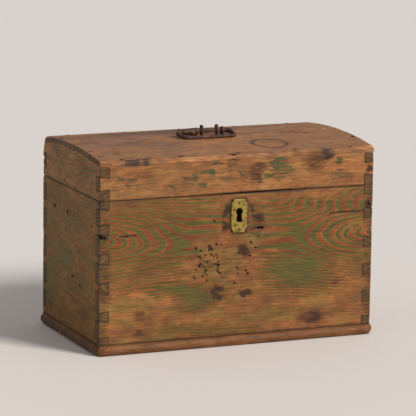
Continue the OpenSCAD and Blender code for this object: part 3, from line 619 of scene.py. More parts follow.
class PointWork:
    """Geometry Nodes that draw a shape on each point of a mesh, sized by the point's attributes."""

    def __init__(self, name: str, *sizes: str) -> None:
        """Starts the tree with its named inputs.

        Args:
            name: the tree's name.
            sizes: its inputs in metres, beside the points and the seed.
        """
        self.tree = bpy.data.node_groups.new(name, "GeometryNodeTree")
        face = self.tree.interface
        kinds = {"Geometry": "Geometry", "Seed": "Int"} | dict.fromkeys(sizes, "Float")
        self.inputs = {key: face.new_socket(key, in_out="INPUT", socket_type="NodeSocket" + kind)
                       .identifier for key, kind in kinds.items()}
        face.new_socket("Geometry", in_out="OUTPUT", socket_type="NodeSocketGeometry")
        self.given = add(self.tree, "NodeGroupInput", {}).outputs

    def close(self, drawn: Node, dent: float, mat: Material) -> None:
        """Ends the tree with real, uneven mesh in its material.

        Args:
            drawn: the node that gives the instances.
            dent: the most that a corner is moved, in metres.
            mat: the material.
        """
        t = self.tree
        real = add(t, "GeometryNodeRealizeInstances", {0: drawn})
        dents = add(t, "FunctionNodeRandomValue", {"Min": (-dent,) * 3, "Max": (dent,) * 3,
                                                   "Seed": self.given["Seed"]}, **VECTOR)
        uneven = add(t, "GeometryNodeSetPosition", {"Geometry": real, "Offset": dents})
        done = add(t, "GeometryNodeSetMaterial", {"Geometry": uneven, "Material": mat})
        add(t, "NodeGroupOutput", {0: done})

    def draw(self, name: str, places: np.ndarray, marks: dict[str, np.ndarray],
             values: dict[str, float]) -> Object:
        """Draws the shape on points.

        Args:
            name: the name of the new object.
            places: the points in metres, one row each.
            marks: the points' attributes, a number or a vector for each point.
            values: the tree's inputs.

        Returns:
            The shapes as one plain mesh object.
        """
        mesh = bpy.data.meshes.new(name)
        mesh.from_pydata([tuple(p) for p in places], [], [])
        for key, rows in marks.items():
            kind, field = ("FLOAT_VECTOR", "vector") if rows.ndim == 2 else ("FLOAT", "value")
            mesh.attributes.new(key, kind, "POINT").data.foreach_set(field, rows.astype(float).ravel())
        obj = bpy.data.objects.new(name, mesh)
        bpy.context.scene.collection.objects.link(obj)
        mod = obj.modifiers.new("drawn", "NODES")
        mod.node_group = self.tree
        for key, value in values.items():
            mod[self.inputs[key]] = value
        evaluated(obj)
        return obj


class PitMaker(PointWork):
    """Nail and worm holes, drawn as tapered plugs and cut from a board."""

    def __init__(self, mat: Material) -> None:
        """Draws the node tree once.

        Args:
            mat: the material of a hole's walls.
        """
        super().__init__("pit_plugs")
        t = self.tree
        plug = add(t, "GeometryNodeMeshCone", {"Vertices": 9, "Radius Top": 0.5,
                                               "Radius Bottom": 0.3, "Depth": 1.0})
        sunk = add(t, "GeometryNodeTransform", {"Geometry": plug.outputs["Mesh"],
                                                "Translation": (0.0, 0.0, -0.7)})
        size, axis = (add(t, NAMED, {"Name": key}, **VECTOR).outputs["Attribute"]
                      for key in ("size", "turn"))
        turn = add(t, "FunctionNodeEulerToRotation", {0: axis})
        put = add(t, ON_POINTS, {"Points": self.given["Geometry"], "Instance": sunk,
                                 "Rotation": turn, "Scale": size})
        self.close(put, 0.25 * MM, mat)

    def plugs(self, name: str, places: np.ndarray, sizes: np.ndarray, turn: tuple[float, ...],
              seed: int) -> Object:
        """Makes one board's plugs.

        Args:
            name: the name of the new object.
            places: the middle of each plug in metres.
            sizes: length along X, width and depth of each plug in metres, before it is turned.
            turn: Euler angles that lay the plug's depth along the board's normal.
            seed: of the unevenness.

        Returns:
            The plugs as one plain mesh object.
        """
        turns = np.tile(turn, (len(places), 1))
        return self.draw(name, places, {"size": sizes, "turn": turns}, {"Seed": seed})


@dataclass(frozen=True)
class Scoop:
    """A chip out of an edge: its middle and half sizes in mm."""

    place: tuple[float, float, float]
    half: tuple[float, float, float]


@dataclass(frozen=True)
class Crack:
    """A split along the grain: places on the face in mm, widest opening and depth."""

    points: tuple[tuple[float, float], ...]
    width: float
    depth: float


@dataclass(frozen=True)
class Kit:
    """What every board needs to be cut and finished."""

    pits: PitMaker
    hole: Material
    # Broken wood gone brown, darkened further as painted shade in the chips
    broken: Material


@dataclass
class Board:
    """One board, copied from its CAD piece, worn, cut and dressed."""

    # Mesh lines in mm from the sides of a long measure and of a thin one, and where even ones start
    EDGE_LINES, THIN_LINES, THIN, INSET = (0.7, 1.5, 2.5, 4.0), (1.2, 2.6), 30.0, 6.0
    # In mm: how far a joint's edge is eased, how far its soiling and painted shade reach, and how deep a
    # pit goes
    EASE, DIRT_REACH, PIT_DEPTH = 0.55, 0.7, 6.0
    # Joints are eased where longer in mm and sharper in degrees than this; shading breaks at CREASE
    SHORT, SHARP, CREASE = 1.5, 30.0, 38.0
    # The top board's front edge lies before this y and below this z, in mm
    LIP_Y, LIP_Z = -118.2, 291.5

    node: str
    body: str
    slot: str
    finish: PineFinish
    # Which way the outer face looks, the spacing of the mesh, then paint and marks, all in mm
    side: int
    step: float = 6.0
    paint: float = 0.2
    paint_noise: float = 0.35
    paint_size: tuple[float, float] = (60.0, 16.0)
    paint_patches: tuple[Patch, ...] = ()
    stains: tuple[Patch, ...] = ()
    # Patches of painted shade along seams: the foot of the walls and the gap between lid and chest
    seam_shade: tuple[Patch, ...] = ()
    pits: tuple[tuple[float, float, float, float], ...] = ()
    cracks: tuple[Crack, ...] = ()
    scoops: tuple[Scoop, ...] = ()
    ring_stain: tuple[float, float, float, float] = (0.0, 0.0, 0.0, 0.0)
    plate: tuple[float, float, float, float] = (0.0, 0.0, 0.0, 0.0)
    jointed: bool = True
    rim_soil_and_shade: float = 0.9
    seed: int = 1

    @property
    def arched(self) -> bool:
        """Whether this is the bent board, whose outer face follows the arch."""
        return self.node == "lid_top_board"

    def build(self, kit: Kit, arrises: Sequence[Arris]) -> None:
        """Makes the finished board and hands it to the frame.

        Args:
            kit: shared cutters and materials.
            arrises: the worn edges of the sub-assembly.
        """
        self.lo, self.hi = (np.array(c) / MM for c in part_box(self.node))
        bm = copy_of(self.node)
        joints = self._ease_joints(bm)
        for axis in range(3):
            slice_at(bm, axis, self._cuts(axis))
        self._mark_joints(bm, joints)
        self._wear(bm, arrises)
        bmesh.ops.triangulate(bm, faces=[f for f in bm.faces if len(f.verts) > 4])
        bmesh.ops.scale(bm, vec=(MM,) * 3, verts=bm.verts)
        mat = bpy.data.materials.get(self.finish.name) or self.finish.build()
        obj = make(self.node + "_worn", bm, mat, kit.hole, kit.broken)
        self._carve(obj, kit)
        self.dress(obj)
        shade(obj, self.CREASE)
        place_piece(obj, self.body, self.slot, self.node)

    def _cuts(self, axis: int) -> list[float]:
        """Finds where the mesh lines go on one axis, closer near the board's sides.

        Args:
            axis: 0, 1 or 2.

        Returns:
            The places in mm.
        """
        low, high = self.lo[axis], self.hi[axis]
        near, even = self.THIN_LINES, []
        if high - low >= self.THIN:
            count = int((high - low - 2 * self.INSET) / self.step)
            near, even = self.EDGE_LINES, np.linspace(low + self.INSET, high - self.INSET, max(count, 2))
        return [low + n for n in near] + list(even) + [high - n for n in near]

    def _ease_joints(self, bm: BMesh) -> BVHTree | None:
        """Takes the sharp edge off the joints that show.

        Args:
            bm: the board's mesh in mm.

        Returns:
            The eased strips, or None where no joint shows.
        """
        chosen = []
        for edge in bm.edges:
            if len(edge.link_faces) != 2 or edge.calc_length() < self.SHORT or not self.jointed:
                continue
            if edge.calc_face_angle(0.0) < math.radians(self.SHARP):
                continue
            a, b = edge.verts
            on_x = all(abs(abs(v.co.x) - HALF_W) < SAME for v in (a, b))
            on_y = all(abs(abs(v.co.y) - HALF_D) < SAME for v in (a, b))
            flat = abs(a.co.z - b.co.z) < SAME
            rim = flat and min(abs(a.co.z - z) for z in (BASE_TOP, RIM, LID_FOOT)) < 0.05
            if on_x != on_y and not rim:
                chosen.append(edge)
        if not chosen:
            return None
        done = bmesh.ops.bevel(bm, geom=chosen, offset=self.EASE, offset_type="OFFSET", segments=2,
                               profile=0.5, affect="EDGES", clamp_overlap=True)
        corners = [[v.co.copy() for v in f.verts] for f in done["faces"]]
        points = [c for face in corners for c in face]
        starts = np.cumsum([0] + [len(face) for face in corners])
        strips = [list(range(a, b)) for a, b in zip(starts, starts[1:])]
        return BVHTree.FromPolygons(points, strips)

    def _mark_joints(self, bm: BMesh, joints: BVHTree | None) -> None:
        """Marks the eased strips for soiling and painted shade.

        Args:
            bm: the board's mesh in mm.
            joints: the strips, if there are any.
        """
        groove = bm.verts.layers.float.new("groove")
        if joints is None:
            return
        for vert in bm.verts:
            _, _, _, far = joints.find_nearest(vert.co, self.DIRT_REACH)
            high = math.hypot(vert.co.y - ARCH_Y, vert.co.z - ARCH_Z) > ARCH_IN - 1.5
            if far is not None and not high:
                outer = (abs(abs(vert.co.x) - HALF_W) < SAME
                         or abs(abs(vert.co.y) - HALF_D) < SAME)
                vert[groove] = (0.2 if outer else 0.9) * (1.0 - far / self.DIRT_REACH)

    def _wear(self, bm: BMesh, arrises: Sequence[Arris]) -> None:
        """Rounds the long edges and lets the faces run a little uneven.

        Args:
            bm: the board's mesh in mm.
            arrises: the worn edges.
        """
        bm.verts.ensure_lookup_table()
        p = np.array([v.co for v in bm.verts])
        for arris in arrises:
            arris.wear(p)
        if self.arched:
            lip = (p[:, 1] < self.LIP_Y) & (p[:, 2] < self.LIP_Z)
            p[lip, 1] = np.minimum(p[lip, 1], 0.1 - HALF_D)
        depth = self.finish.layout.value[1]
        outer = self._outside(p)
        dip = blotch(p, (90.0, 90.0, 90.0), self.seed * 3.7) * 0.25
        p[:, depth] -= np.where(outer, self.side * (0.2 + dip), 0.0)
        for vert, row in zip(bm.verts, p):
            vert.co = row

    def _outside(self, p: np.ndarray) -> np.ndarray:
        """Tells which points lie on the outer half of the board's thickness.

        Args:
            p: points in mm, one row each.

        Returns:
            True for those that do.
        """
        if self.arched:
            upper = np.hypot(p[:, 1] - ARCH_Y, p[:, 2] - ARCH_Z) > (ARCH_R + ARCH_IN) / 2
            return upper | (np.abs(p[:, 1]) > HALF_D - 3.0)
        depth = self.finish.layout.value[1]
        return self.side * (p[:, depth] - (self.lo[depth] + self.hi[depth]) / 2.0) > 0

    def _surface(self, along: float, across: float) -> np.ndarray:
        """Finds the point on the board's outer face at a place on it.

        Args:
            along: mm along the grain.
            across: mm across the grain.

        Returns:
            The point in mm.
        """
        a, d, c = self.finish.layout.value
        point = np.zeros(3)
        point[a], point[c] = along, across
        point[d] = self.hi[d] if self.side > 0 else self.lo[d]
        if self.arched:
            point[2] = ARCH_Z + math.sqrt(ARCH_R ** 2 - (across - ARCH_Y) ** 2)
        return point

    def _carve(self, obj: Object, kit: Kit) -> None:
        """Cuts pits, cracks and chips.

        Args:
            obj: the board.
            kit: shared cutters and materials.
        """
        cutters = []
        a, d, _ = self.finish.layout.value
        ahead, out = Vector(np.eye(3)[a]), Vector(self.side * np.eye(3)[d])
        turn = tuple(Matrix((ahead, out.cross(ahead), out)).transposed().to_euler())
        if self.pits:
            places = [self._surface(a, c) * MM for a, c, _, _ in self.pits]
            sizes = [(w * MM, h * MM, self.PIT_DEPTH * MM) for _, _, w, h in self.pits]
            cutters.append(kit.pits.plugs(self.node + "_pits", np.array(places),
                                          np.array(sizes), turn, self.seed))
        if self.cracks:
            bm = bmesh.new()
            for crack in self.cracks:
                self._split(bm, crack)
            cutters.append(make(self.node + "_cracks", bm, kit.hole))
        if self.scoops:
            bm = bmesh.new()
            for i, scoop in enumerate(self.scoops):
                self._chip(bm, scoop, i)
            cutters.append(make(self.node + "_chips", bm, kit.broken))
        for cutter in cutters:
            cut_away(obj, cutter)

    def _chip(self, bm: BMesh, scoop: Scoop, number: int) -> None:
        """Adds the lump that breaks one chip out.

        Args:
            bm: the mesh of all lumps, in metres.
            scoop: the chip.
            number: its place in the list, which makes its lump differ.
        """
        for vert in bmesh.ops.create_icosphere(bm, subdivisions=2, radius=1.0)["verts"]:
            lump = 1.0 + 0.3 * noise.noise(vert.co * 1.7 + Vector((number * 5.1, self.seed, 0)))
            vert.co = Vector(c + lump * v * h for c, v, h in
                             zip(scoop.place, vert.co, scoop.half)) * MM

    def _split(self, bm: BMesh, crack: Crack) -> None:
        """Adds the wedge that cuts one crack.

        Args:
            bm: the mesh of all wedges, in metres.
            crack: the crack.
        """
        _, d, c = self.finish.layout.value
        rings = []
        last = len(crack.points) - 1
        for i, (along, across) in enumerate(crack.points):
            wide = crack.width * (0.12 if i in (0, last) else 0.6 + 0.4 * math.sin(2.3 * i))
            base = self._surface(along, across)
            row = []
            for shift, out in ((-wide / 2, 1.0), (wide / 2, 1.0), (0.0, -crack.depth)):
                point = base.copy()
                point[c] += shift
                point[d] += self.side * out
                row.append(bm.verts.new(point * MM))
            rings.append(row)
        for one, two in zip(rings, rings[1:]):
            for i in range(3):
                j = (i + 1) % 3
                bm.faces.new((one[i], one[j], two[j], two[i]))
        bm.faces.new(rings[0][::-1])
        bm.faces.new(rings[-1])
        bmesh.ops.recalc_face_normals(bm, faces=bm.faces)

    def dress(self, obj: Object) -> None:
        """Writes paint, stain, soiling and painted shade, and bareness to the mesh for the finish to
        read.

        Args:
            obj: the board.
        """
        mesh = obj.data
        count = len(mesh.vertices)
        flat = np.empty(count * 3)
        mesh.vertices.foreach_get("co", flat)
        p = flat.reshape(-1, 3) / MM
        a, _, c = self.finish.layout.value
        along, across = p[:, a], p[:, c]
        face = self._outside(p)
        stretch = np.full(3, self.paint_size[1])
        stretch[a] = self.paint_size[0]
        paint = self.paint + self.paint_noise * blotch(p, stretch, self.seed * 1.3)
        # The edges of patches wander by a few millimetres
        bent_a = along + 8.0 * blotch(p, (15.0,) * 3, self.seed + 5.2)
        bent_c = across + 5.0 * blotch(p, (9.0,) * 3, self.seed + 9.4)
        for patch in self.paint_patches:
            paint = paint + patch.at(bent_a, bent_c)
        spread = np.full(3, 26.0)
        spread[a] = 95.0
        stain = 0.5 * np.clip(blotch(p, spread, self.seed * 2.9) - 0.1, 0, None)
        for patch in self.stains:
            stain = stain + patch.at(bent_a, bent_c)
        soil_and_shade = np.zeros(count)
        groove = mesh.attributes.get("groove")
        if groove:
            groove.data.foreach_get("value", soil_and_shade)
            mesh.attributes.remove(groove)
        # Painted shade along the seams
        for patch in self.seam_shade:
            soil_and_shade = np.maximum(soil_and_shade, patch.at(along, across) * face)
        # Soiling and painted shade on the rims of pits and cracks, whose walls have the second material
        cut = [i for f in mesh.polygons if f.material_index == 1 for i in f.vertices]
        soil_and_shade[cut] = np.maximum(soil_and_shade[cut], self.rim_soil_and_shade)
        x, y, r, wide = self.ring_stain
        if r:
            off = np.abs(np.hypot(along - x, across - y) - r)
            stain = np.maximum(stain, 0.75 * np.clip(1.4 - off / wide, 0, 1))
        # A dark ring round the keyhole plate: soiling and painted shade where the plate's edge meets the
        # board
        x, y, half_w, half_h = self.plate
        if half_w:
            off = np.maximum(np.abs(along - x) - half_w, np.abs(across - y) - half_h)
            soil_and_shade = np.maximum(soil_and_shade, 0.8 * face * np.clip(1.6 - off / 2.0, 0, 1))
        inner = (np.abs(p[:, 0]) < IN_W) & (np.abs(p[:, 1]) < IN_D) & (p[:, 2] > BASE_TOP - 1.0)
        if self.arched:
            inner &= np.hypot(p[:, 1] - ARCH_Y, p[:, 2] - ARCH_Z) < ARCH_IN + 1.0
        paint = np.clip(paint, 0, 1) * face
        stain = np.clip(stain, 0, 1) * (face | inner)
        rows = np.stack([paint, stain, np.clip(soil_and_shade, 0, 1), inner.astype(float)], axis=1)
        mesh.attributes.new("finish", "FLOAT_COLOR", "POINT").data.foreach_set(
            "color", rows.astype(np.float32).ravel())


# Sub-assemblies


# A row of painted shadow along the foot of the walls, where they meet the base, and chips at the lid's
# back left corner
FOOT_SHADOW = (0, 15, 900, 5.5, 0.8)
BACK_CHIPS = (Scoop((-227, 124.5, 263), (8.5, 8.5, 4.0)), Scoop((-227, 124.5, 251), (7, 7, 3.4)))
# Holes of nails and worms round the keyhole, along and across in mm
FRONT_HOLES = (
    (-47.2, 157.5), (-35.9, 158.4), (-62.1, 150.2), (-48.1, 151.2), (-54.5, 143.2),
    (-36.6, 143.4), (-34.6, 138.4), (-50.6, 132.4), (-32.7, 131.7), (-63.6, 126.8),
    (-31.6, 126.9), (-53.2, 120.4), (-33.5, 122.1), (-70, 122.1), (-70.9, 108.7),
    (-58.6, 111.1), (-33.5, 117.7), (0.2, 143.3), (20.8, 158.2), (28.6, 150.2),
    (9.6, 147.4), (18.2, 143.4), (19.2, 137.9), (-2.4, 120.7), (13, 114.7),
    (15.9, 110.6), (-0.2, 112.2), (-5.8, 97.1),
)
# Finer holes among them, spread evenly by two steps that never repeat
FINE_HOLES = tuple((-72 + 45 * (0.618 * i % 1), 104 + 54 * ((0.755 * i + 0.13) % 1)) for i in range(26))


def holes(places: Sequence[tuple[float, float]], seed: float, size: float = 1.0,
          ) -> tuple[tuple[float, float, float, float], ...]:
    """Old nail and worm holes of uneven size: along, across, length and width in mm for each."""
    return tuple((a, c, size * (3.7 + 1.3 * math.sin(7.1 * i + seed)),
                  size * (2.6 + 0.7 * math.sin(4.3 * i + seed)))
                 for i, (a, c) in enumerate(places))


@dataclass
class Chest:
    """The box itself: four dovetailed walls on a rounded base board."""

    # Marks that the boards show, as rows of what a patch holds
    FRONT_PAINT = patches(
        (1.6, 191.5, 330, 62, 0.2), (-168, 181.4, 75, 48, 0.2), (-98.6, 167.3, 40, 22, 0.3),
        (169.3, 164.3, 75, 48, 0.16), (100, 108, 72, 52, 0.95), (154.8, 82.8, 35, 26, 0.3),
        (52.8, 136, 35, 32, 0.25), (181.1, 205.6, 50, 22, 0.25), (-110.2, 94.4, 45, 18, 0.55),
        (-140, 122, 90, 36, 0.2), (-66, 79, 48, 26, 0.85), (-77.9, 61.1, 35, 12, 0.45),
        (-77.8, 29.8, 74, 14, 0.8), (-6, 22, 74, 11, 0.65), (-18.2, 151.1, 75, 65, -0.3),
        (41.4, 225.8, 120, 12, -0.35), (2.3, 40.1, 330, 55, -0.3), (-178.5, 59.9, 60, 40, -0.2),
        (171.9, 45.5, 70, 50, -0.25), (-219, 110, 16, 150, 0.1), (-95.7, 157.2, 26, 22, 0.5),
        (95.4, 169.2, 36, 26, 0.45))
    FRONT_STAINS = patches(
        (33.4, 196.6, 14, 11, 1.0), (-23.4, 185.5, 6, 10, 1.1), (-19, 211, 6, 13, 1.1),
        (19.7, 208.7, 6, 9, 1.1), (32.1, 165, 7, 4, 0.6), (13.5, 80.5, 14, 7, 1.2),
        (9.8, 147.1, 10, 13, 0.95), (124.2, 32, 30, 16, 0.7), (164.7, 84.8, 8, 6, 0.6),
        (-160.3, 58.9, 18, 9, 0.7), (-159.2, 29.5, 15, 9, 0.6), (-129.2, 65, 12, 7, 0.35),
        (6.4, 31, 16, 8, 0.3), (31.6, 179.4, 26, 12, 0.45), (215.9, 201.6, 14, 18, 0.6),
        (-216.4, 189.5, 12, 18, 0.8), (-8.1, 125.9, 75, 60, 0.3), (-220, 120, 17, 190, 0.42),
        (221, 100, 14, 190, 0.4), (-38.5, 84, 4, 9, 1.2), (-31.5, 91, 8.5, 3.4, 1.1),
        (-30.5, 77.4, 8.5, 3.6, 1.1), (-6.5, 194.3, 62, 26, 0.25), (156.0, 39.8, 66, 26, 0.3))
    END_STAINS = patches(
        (85, 36.2, 14, 9, 0.6), (-65.9, 53.5, 14, 9, 0.6), (68.2, 196.1, 9, 7, 0.7),
        (13, 196.2, 8, 7, 0.7), (-10.3, 102, 10, 8, 0.6), (-120, 125, 10, 900, 0.6),
        (121, 125, 6, 900, 0.4), (-39.5, 146, 9, 7, 0.6), (-17.6, 199.2, 8, 5, 0.5),
        (-87.8, 192.1, 9, 7, 0.4))

    corner: float = 1.5
    rim: float = 0.6

    def arrises(self) -> list[Arris]:
        """Lists the long edges of the chest that are worn round.

        Returns:
            Corners, the base's corners and rims.
        """
        found = [Arris((0, sx, HALF_W), (1, sy, HALF_D), self.corner, 1.6, 1.1 + sx + 2 * sy)
                 for sx in (-1, 1) for sy in (-1, 1)]
        found += [Arris((0, sx, BASE_W), (1, sy, BASE_D), 4.5, 1.5, 0.4 * sx + sy)
                  for sx in (-1, 1) for sy in (-1, 1)]
        found += [Arris((0, sx, HALF_W), (2, 1, RIM), self.rim, 0.6, sx) for sx in (-1, 1)]
        found.append(Arris((1, -1, HALF_D), (2, 1, RIM), self.rim, 0.6, 2.2, (25.0, 85.0, 2.8)))
        return found

    def boards(self) -> list[Board]:
        """Lists the chest's boards with their marks.

        Returns:
            Front, back, ends and base.
        """
        # Sawn pine under worn paint: red arching lines with olive left between them
        front = PineFinish("painted_pine_front", Layout.UPRIGHT, twin=(120.0, 50.0, 214.0))
        back = PineFinish("painted_pine_back", Layout.UPRIGHT, heart=(40.0, 42.0, 90.0), seed=4.0)
        # The same paint, thin and even, on ends whose lines hardly show
        end = PineFinish("painted_pine_ends", Layout.END, early="#865a2a", late="#754820",
                         gold="#7f6129", paint="#6c5f10", paint_dark="#5a4f12", soft_edge=0.7,
                         keep_off=0.3, face=HALF_W, heart=(10.0, 70.0, 120.0), plateau=20.0,
                         slope=0.3, plain_lines=0.1, seed=8.0)
        # Pine handled and stood on: brown, without paint
        base = PineFinish("worn_pine_base", Layout.FLAT, early="#7d4d28", late="#653a1c",
                          gold="#7a5129", face=8.0, heart=(0.0, 90.0, 20.0), slope=0.15, seed=12.0)
        return [
            Board("front_board", "chest", "front_wood", front, -1, 3.4, paint=0.24,
                  paint_patches=self.FRONT_PAINT, stains=self.FRONT_STAINS,
                  # Painted shadow at the foot, and painted shade in the gap under the lid
                  seam_shade=patches(FOOT_SHADOW, (40, 236.4, 200, 5.4, 1.0), (0, 236, 900, 3.6, 0.8)),
                  pits=holes(FRONT_HOLES, 0.3, 0.8) + holes(FINE_HOLES, 1.1, 0.6) + (
                      (35.4, 179.9, 15.0, 3.0), (-39.9, 194.7, 6.0, 1.8), (217.7, 206.4, 4.5, 4.0)),
                  cracks=(Crack(((-192, 180.6), (-182, 180), (-174, 180.6), (-165, 180.3)), 1.0, 4),
                          Crack(((151.3, 194.5), (176.2, 195.5), (201, 194.7), (214.9, 195.1)), 0.9, 3)),
                  scoops=(Scoop((-225, -122, 189.5), (8, 6, 9)), Scoop((-222, -123, 180), (9, 4, 2)),
                          Scoop((225, -122.5, 199.5), (5, 4, 3.5))),
                  plate=(0.0, 200.5, 13.0, 25.5), seed=1),
            Board("back_board", "chest", "back_wood", back, 1, paint=0.35, seam_shade=patches(FOOT_SHADOW),
                  seed=2),
            Board("left_end_board", "chest", "end_wood", end, -1, 4.5, paint=0.3,
                  paint_patches=patches((75, 85, 40, 60, 0.35), (20, 133.6, 40, 34, 0.25),
                                        (-1.2, 28.4, 200, 40, -0.25)),
                  # Painted shadow at the foot, and painted shade in the gap under the lid
                  stains=self.END_STAINS, seam_shade=patches(FOOT_SHADOW, (0, 236, 900, 4, 0.5)),
                  pits=holes(((68.2, 196.2), (13, 196.4), (-17.6, 199.2), (-87.8, 192.1), (18.8, 165.6),
                              (-39.5, 144.8), (-10.9, 101.8), (-42, 93.9)), 2.0), seed=3),
            Board("right_end_board", "chest", "end_wood", end, 1, paint=0.24, seam_shade=patches(FOOT_SHADOW),
                  pits=holes(((40, 180), (-60, 120), (12, 70)), 1.0), seed=4),
            Board("base_board", "chest", "base_wood", base, -1, 5.0, paint=0.0, paint_noise=0.1,
                  seed=5),
        ]

    def build(self, kit: Kit) -> None:
        """Makes every board of the chest with the shared cutters and materials."""
        for board in self.boards():
            board.build(kit, self.arrises())


@dataclass
class Lid:
    """The arched lid: two rails and two ends, dovetailed, under one bent board."""

    # Marks that the boards show, as rows of what a patch holds
    RAIL_STAINS = patches(
        (36, 277.3, 9, 7, 0.3), (28, 254, 12, 8, 0.28), (27, 266, 30, 26, 0.6),
        (127, 275, 38, 24, 0.55), (146.9, 285.2, 12, 7, 0.85), (-11.9, 276.4, 22, 20, 0.5),
        (217.6, 260.5, 9, 8, 1.3), (-172, 287.5, 17, 6, 0.75), (-149.4, 286.8, 12, 5, 0.7))
    TOP_STAINS = patches(
        (140.4, 5.9, 30, 20, 0.35), (-157.4, -11.8, 130, 120, 0.22), (-182.1, -87.6, 8, 7, 0.6),
        (-214.4, -93.8, 8, 6, 0.6), (-172, -121.5, 17, 6, 0.75), (-149.5, -119, 16, 4, 0.8),
        # The last patch on the next line darkens the top round the handle
        (146.9, -120.8, 14, 6, 0.9), (-9.4, -119.9, 12, 4, 0.8), (12.5, 2.3, 60, 18, 0.25),
        (0, -126, 900, 9, 0.4), (-30, 72, 260, 50, 0.55))

    corner: float = 1.6
    foot: float = 0.6

    def arrises(self) -> list[Arris]:
        """Lists the long edges of the lid that are worn round.

        Returns:
            Corners, lower edges and the edges of the arch.
        """
        # How much rounder each corner is at its top, by the sides it lies on
        tops = {(-1, -1): 2.0, (1, -1): 1.2, (-1, 1): 8.0, (1, 1): 4.0}
        found = [Arris((0, sx, HALF_W), (1, sy, HALF_D), self.corner, 1.8, 3.1 + sx + 2 * sy,
                       (295.0, 14.0, extra)) for (sx, sy), extra in tops.items()]
        found += [Arris((0, sx, HALF_W), (2, -1, -LID_FOOT), self.foot, 0.6, 2 * sx)
                  for sx in (-1, 1)]
        found.append(Arris((0, -1, HALF_W), (RADIAL, 1, ARCH_R), 1.8, 1.4, 0.0, (122.0, 24.0, 8.0)))
        found.append(Arris((0, 1, HALF_W), (RADIAL, 1, ARCH_R), 1.8, 1.4, 2.0))
        found.append(Arris((1, -1, HALF_D), (2, -1, -LID_FOOT), self.foot, 0.6, 5.2, (25.0, 85.0, 2.4)))
        found.append(Arris((1, -1, HALF_D), (RADIAL, 1, ARCH_R), 2.0, 1.4, 6.0, (235.0, 36.0, 5.5)))
        return found

    def boards(self) -> list[Board]:
        """Lists the lid's boards with their marks.

        Returns:
            Rails, ends and top.
        """
        # Bare brown pine with crisp flecks of green
        rail = PineFinish("worn_pine_rails", Layout.UPRIGHT, early="#976033", late="#7c4822",
                          gold="#9a6c3c", heart=(-60.0, 60.0, 330.0), plateau=0.0, slope=0.08,
                          paint="#4b522f", paint_dark="#3b4425", soft_edge=0.15, break_up=2.3,
                          keep_off=1.0, plain_lines=0.25, seed=20.0)
        # Straight-grained pine, a little greener
        end = PineFinish("worn_pine_lid_ends", Layout.END, early="#946737", late="#7b4c27",
                         gold="#8e6a38", face=HALF_W, heart=(0.0, 70.0, 210.0), plateau=0.0,
                         slope=0.15, plain_lines=0.2, seed=24.0)
        # Bleached pine with dust in place of paint: pale, greyish and blotched
        top = PineFinish("dusty_pine_top", Layout.FLAT, early="#ba7c48", late="#905a32",
                         gold="#ae7c4a", paint="#957255", paint_dark="#765a47", stain="#3a2a22",
                         face=300.0, heart=(60.0, 60.0, 10.0), slope=0.1, wobble=20.0,
                         plain_lines=0.8, seed=28.0)
        green = ((51, 259.8), (6.1, 263.9), (-36.9, 282.9), (-45.5, 270.2), (-190.9, 266),
                 (-168.9, 263.9), (-176.2, 256.5), (-90.7, 262.9), (-74, 262.8), (-55.4, 269.5),
                 (-44.2, 269.8), (-107.1, 250.8), (-61.6, 249.8), (170.5, 275.7))
        flecks = [(a, c, 11, 4.5, 0.85) for a, c in green]
        flecks += [(70.6, 268.7, 30, 24, 0.6), (-29.3, 257.7, 34, 5, 0.55), (168.9, 255, 30, 10, 0.5),
                   (51.2, 277.3, 26, 12, 0.3)]
        return [
            Board("lid_front_rail", "lid", "lid_rail_wood", rail, -1, 3.0, paint=-0.06,
                  paint_noise=0.32, paint_size=(22.0, 5.0), paint_patches=patches(*flecks),
                  stains=self.RAIL_STAINS, seed=6,
                  # Painted shade in the gap over the chest
                  seam_shade=patches((40, 234.2, 200, 5.0, 1.0), (0, 234.6, 900, 3.2, 0.7))),
            Board("lid_back_rail", "lid", "lid_rail_wood", rail, 1, paint=0.25, seed=7,
                  scoops=BACK_CHIPS),
            Board("lid_left_end", "lid", "lid_end_wood", end, -1, 4.5, paint=0.2,
                  paint_patches=patches((91.5, 268.1, 24, 12, 0.4), (-56.8, 269.3, 24, 12, 0.3)),
                  # Painted shade in the gap over the chest
                  pits=holes(((27.2, 243.6),), 0.0), seam_shade=patches((0, 234.6, 900, 4, 0.5)),
                  cracks=(Crack(((-21.6, 237), (-21.3, 241), (-21.8, 244), (-21.4, 249)), 1.0, 3),),
                  scoops=BACK_CHIPS, seed=8),
            Board("lid_right_end", "lid", "lid_end_wood", end, 1, paint=0.3, seed=9),
            Board("lid_top_board", "lid", "lid_top_wood", top, 1, 4.5, paint=0.42, paint_noise=0.4,
                  paint_patches=patches((0.5, -127.4, 900, 16, -0.3), (-147.4, -12, 130, 110, 0.25),
                                        (41.6, -35.8, 110, 60, -0.15), (-55.6, 53.1, 90, 40, 0.2)),
                  stains=self.TOP_STAINS, ring_stain=(70.8, -72.9, 26.5, 4.6), jointed=False,
                  cracks=(Crack(((-221.4, -6.6), (-211.4, -8.4), (-203.4, -9.6), (-185.4, -9.3)), 1.2, 3),
                          Crack(((152, 44.4), (159.9, 45.3), (169.7, 44.5)), 1.0, 2.5)),
                  scoops=(Scoop((-149, -123, 295), (7, 2.2, 2.0)),
                          Scoop((147, -123.6, 294.2), (6, 2.4, 2.2)),
                          Scoop((-9, -123, 294.4), (8, 2.4, 2))), seed=10),
        ]

    def build(self, kit: Kit) -> None:
        """Makes every board of the lid with the shared cutters and materials."""
        for board in self.boards():
            board.build(kit, self.arrises())


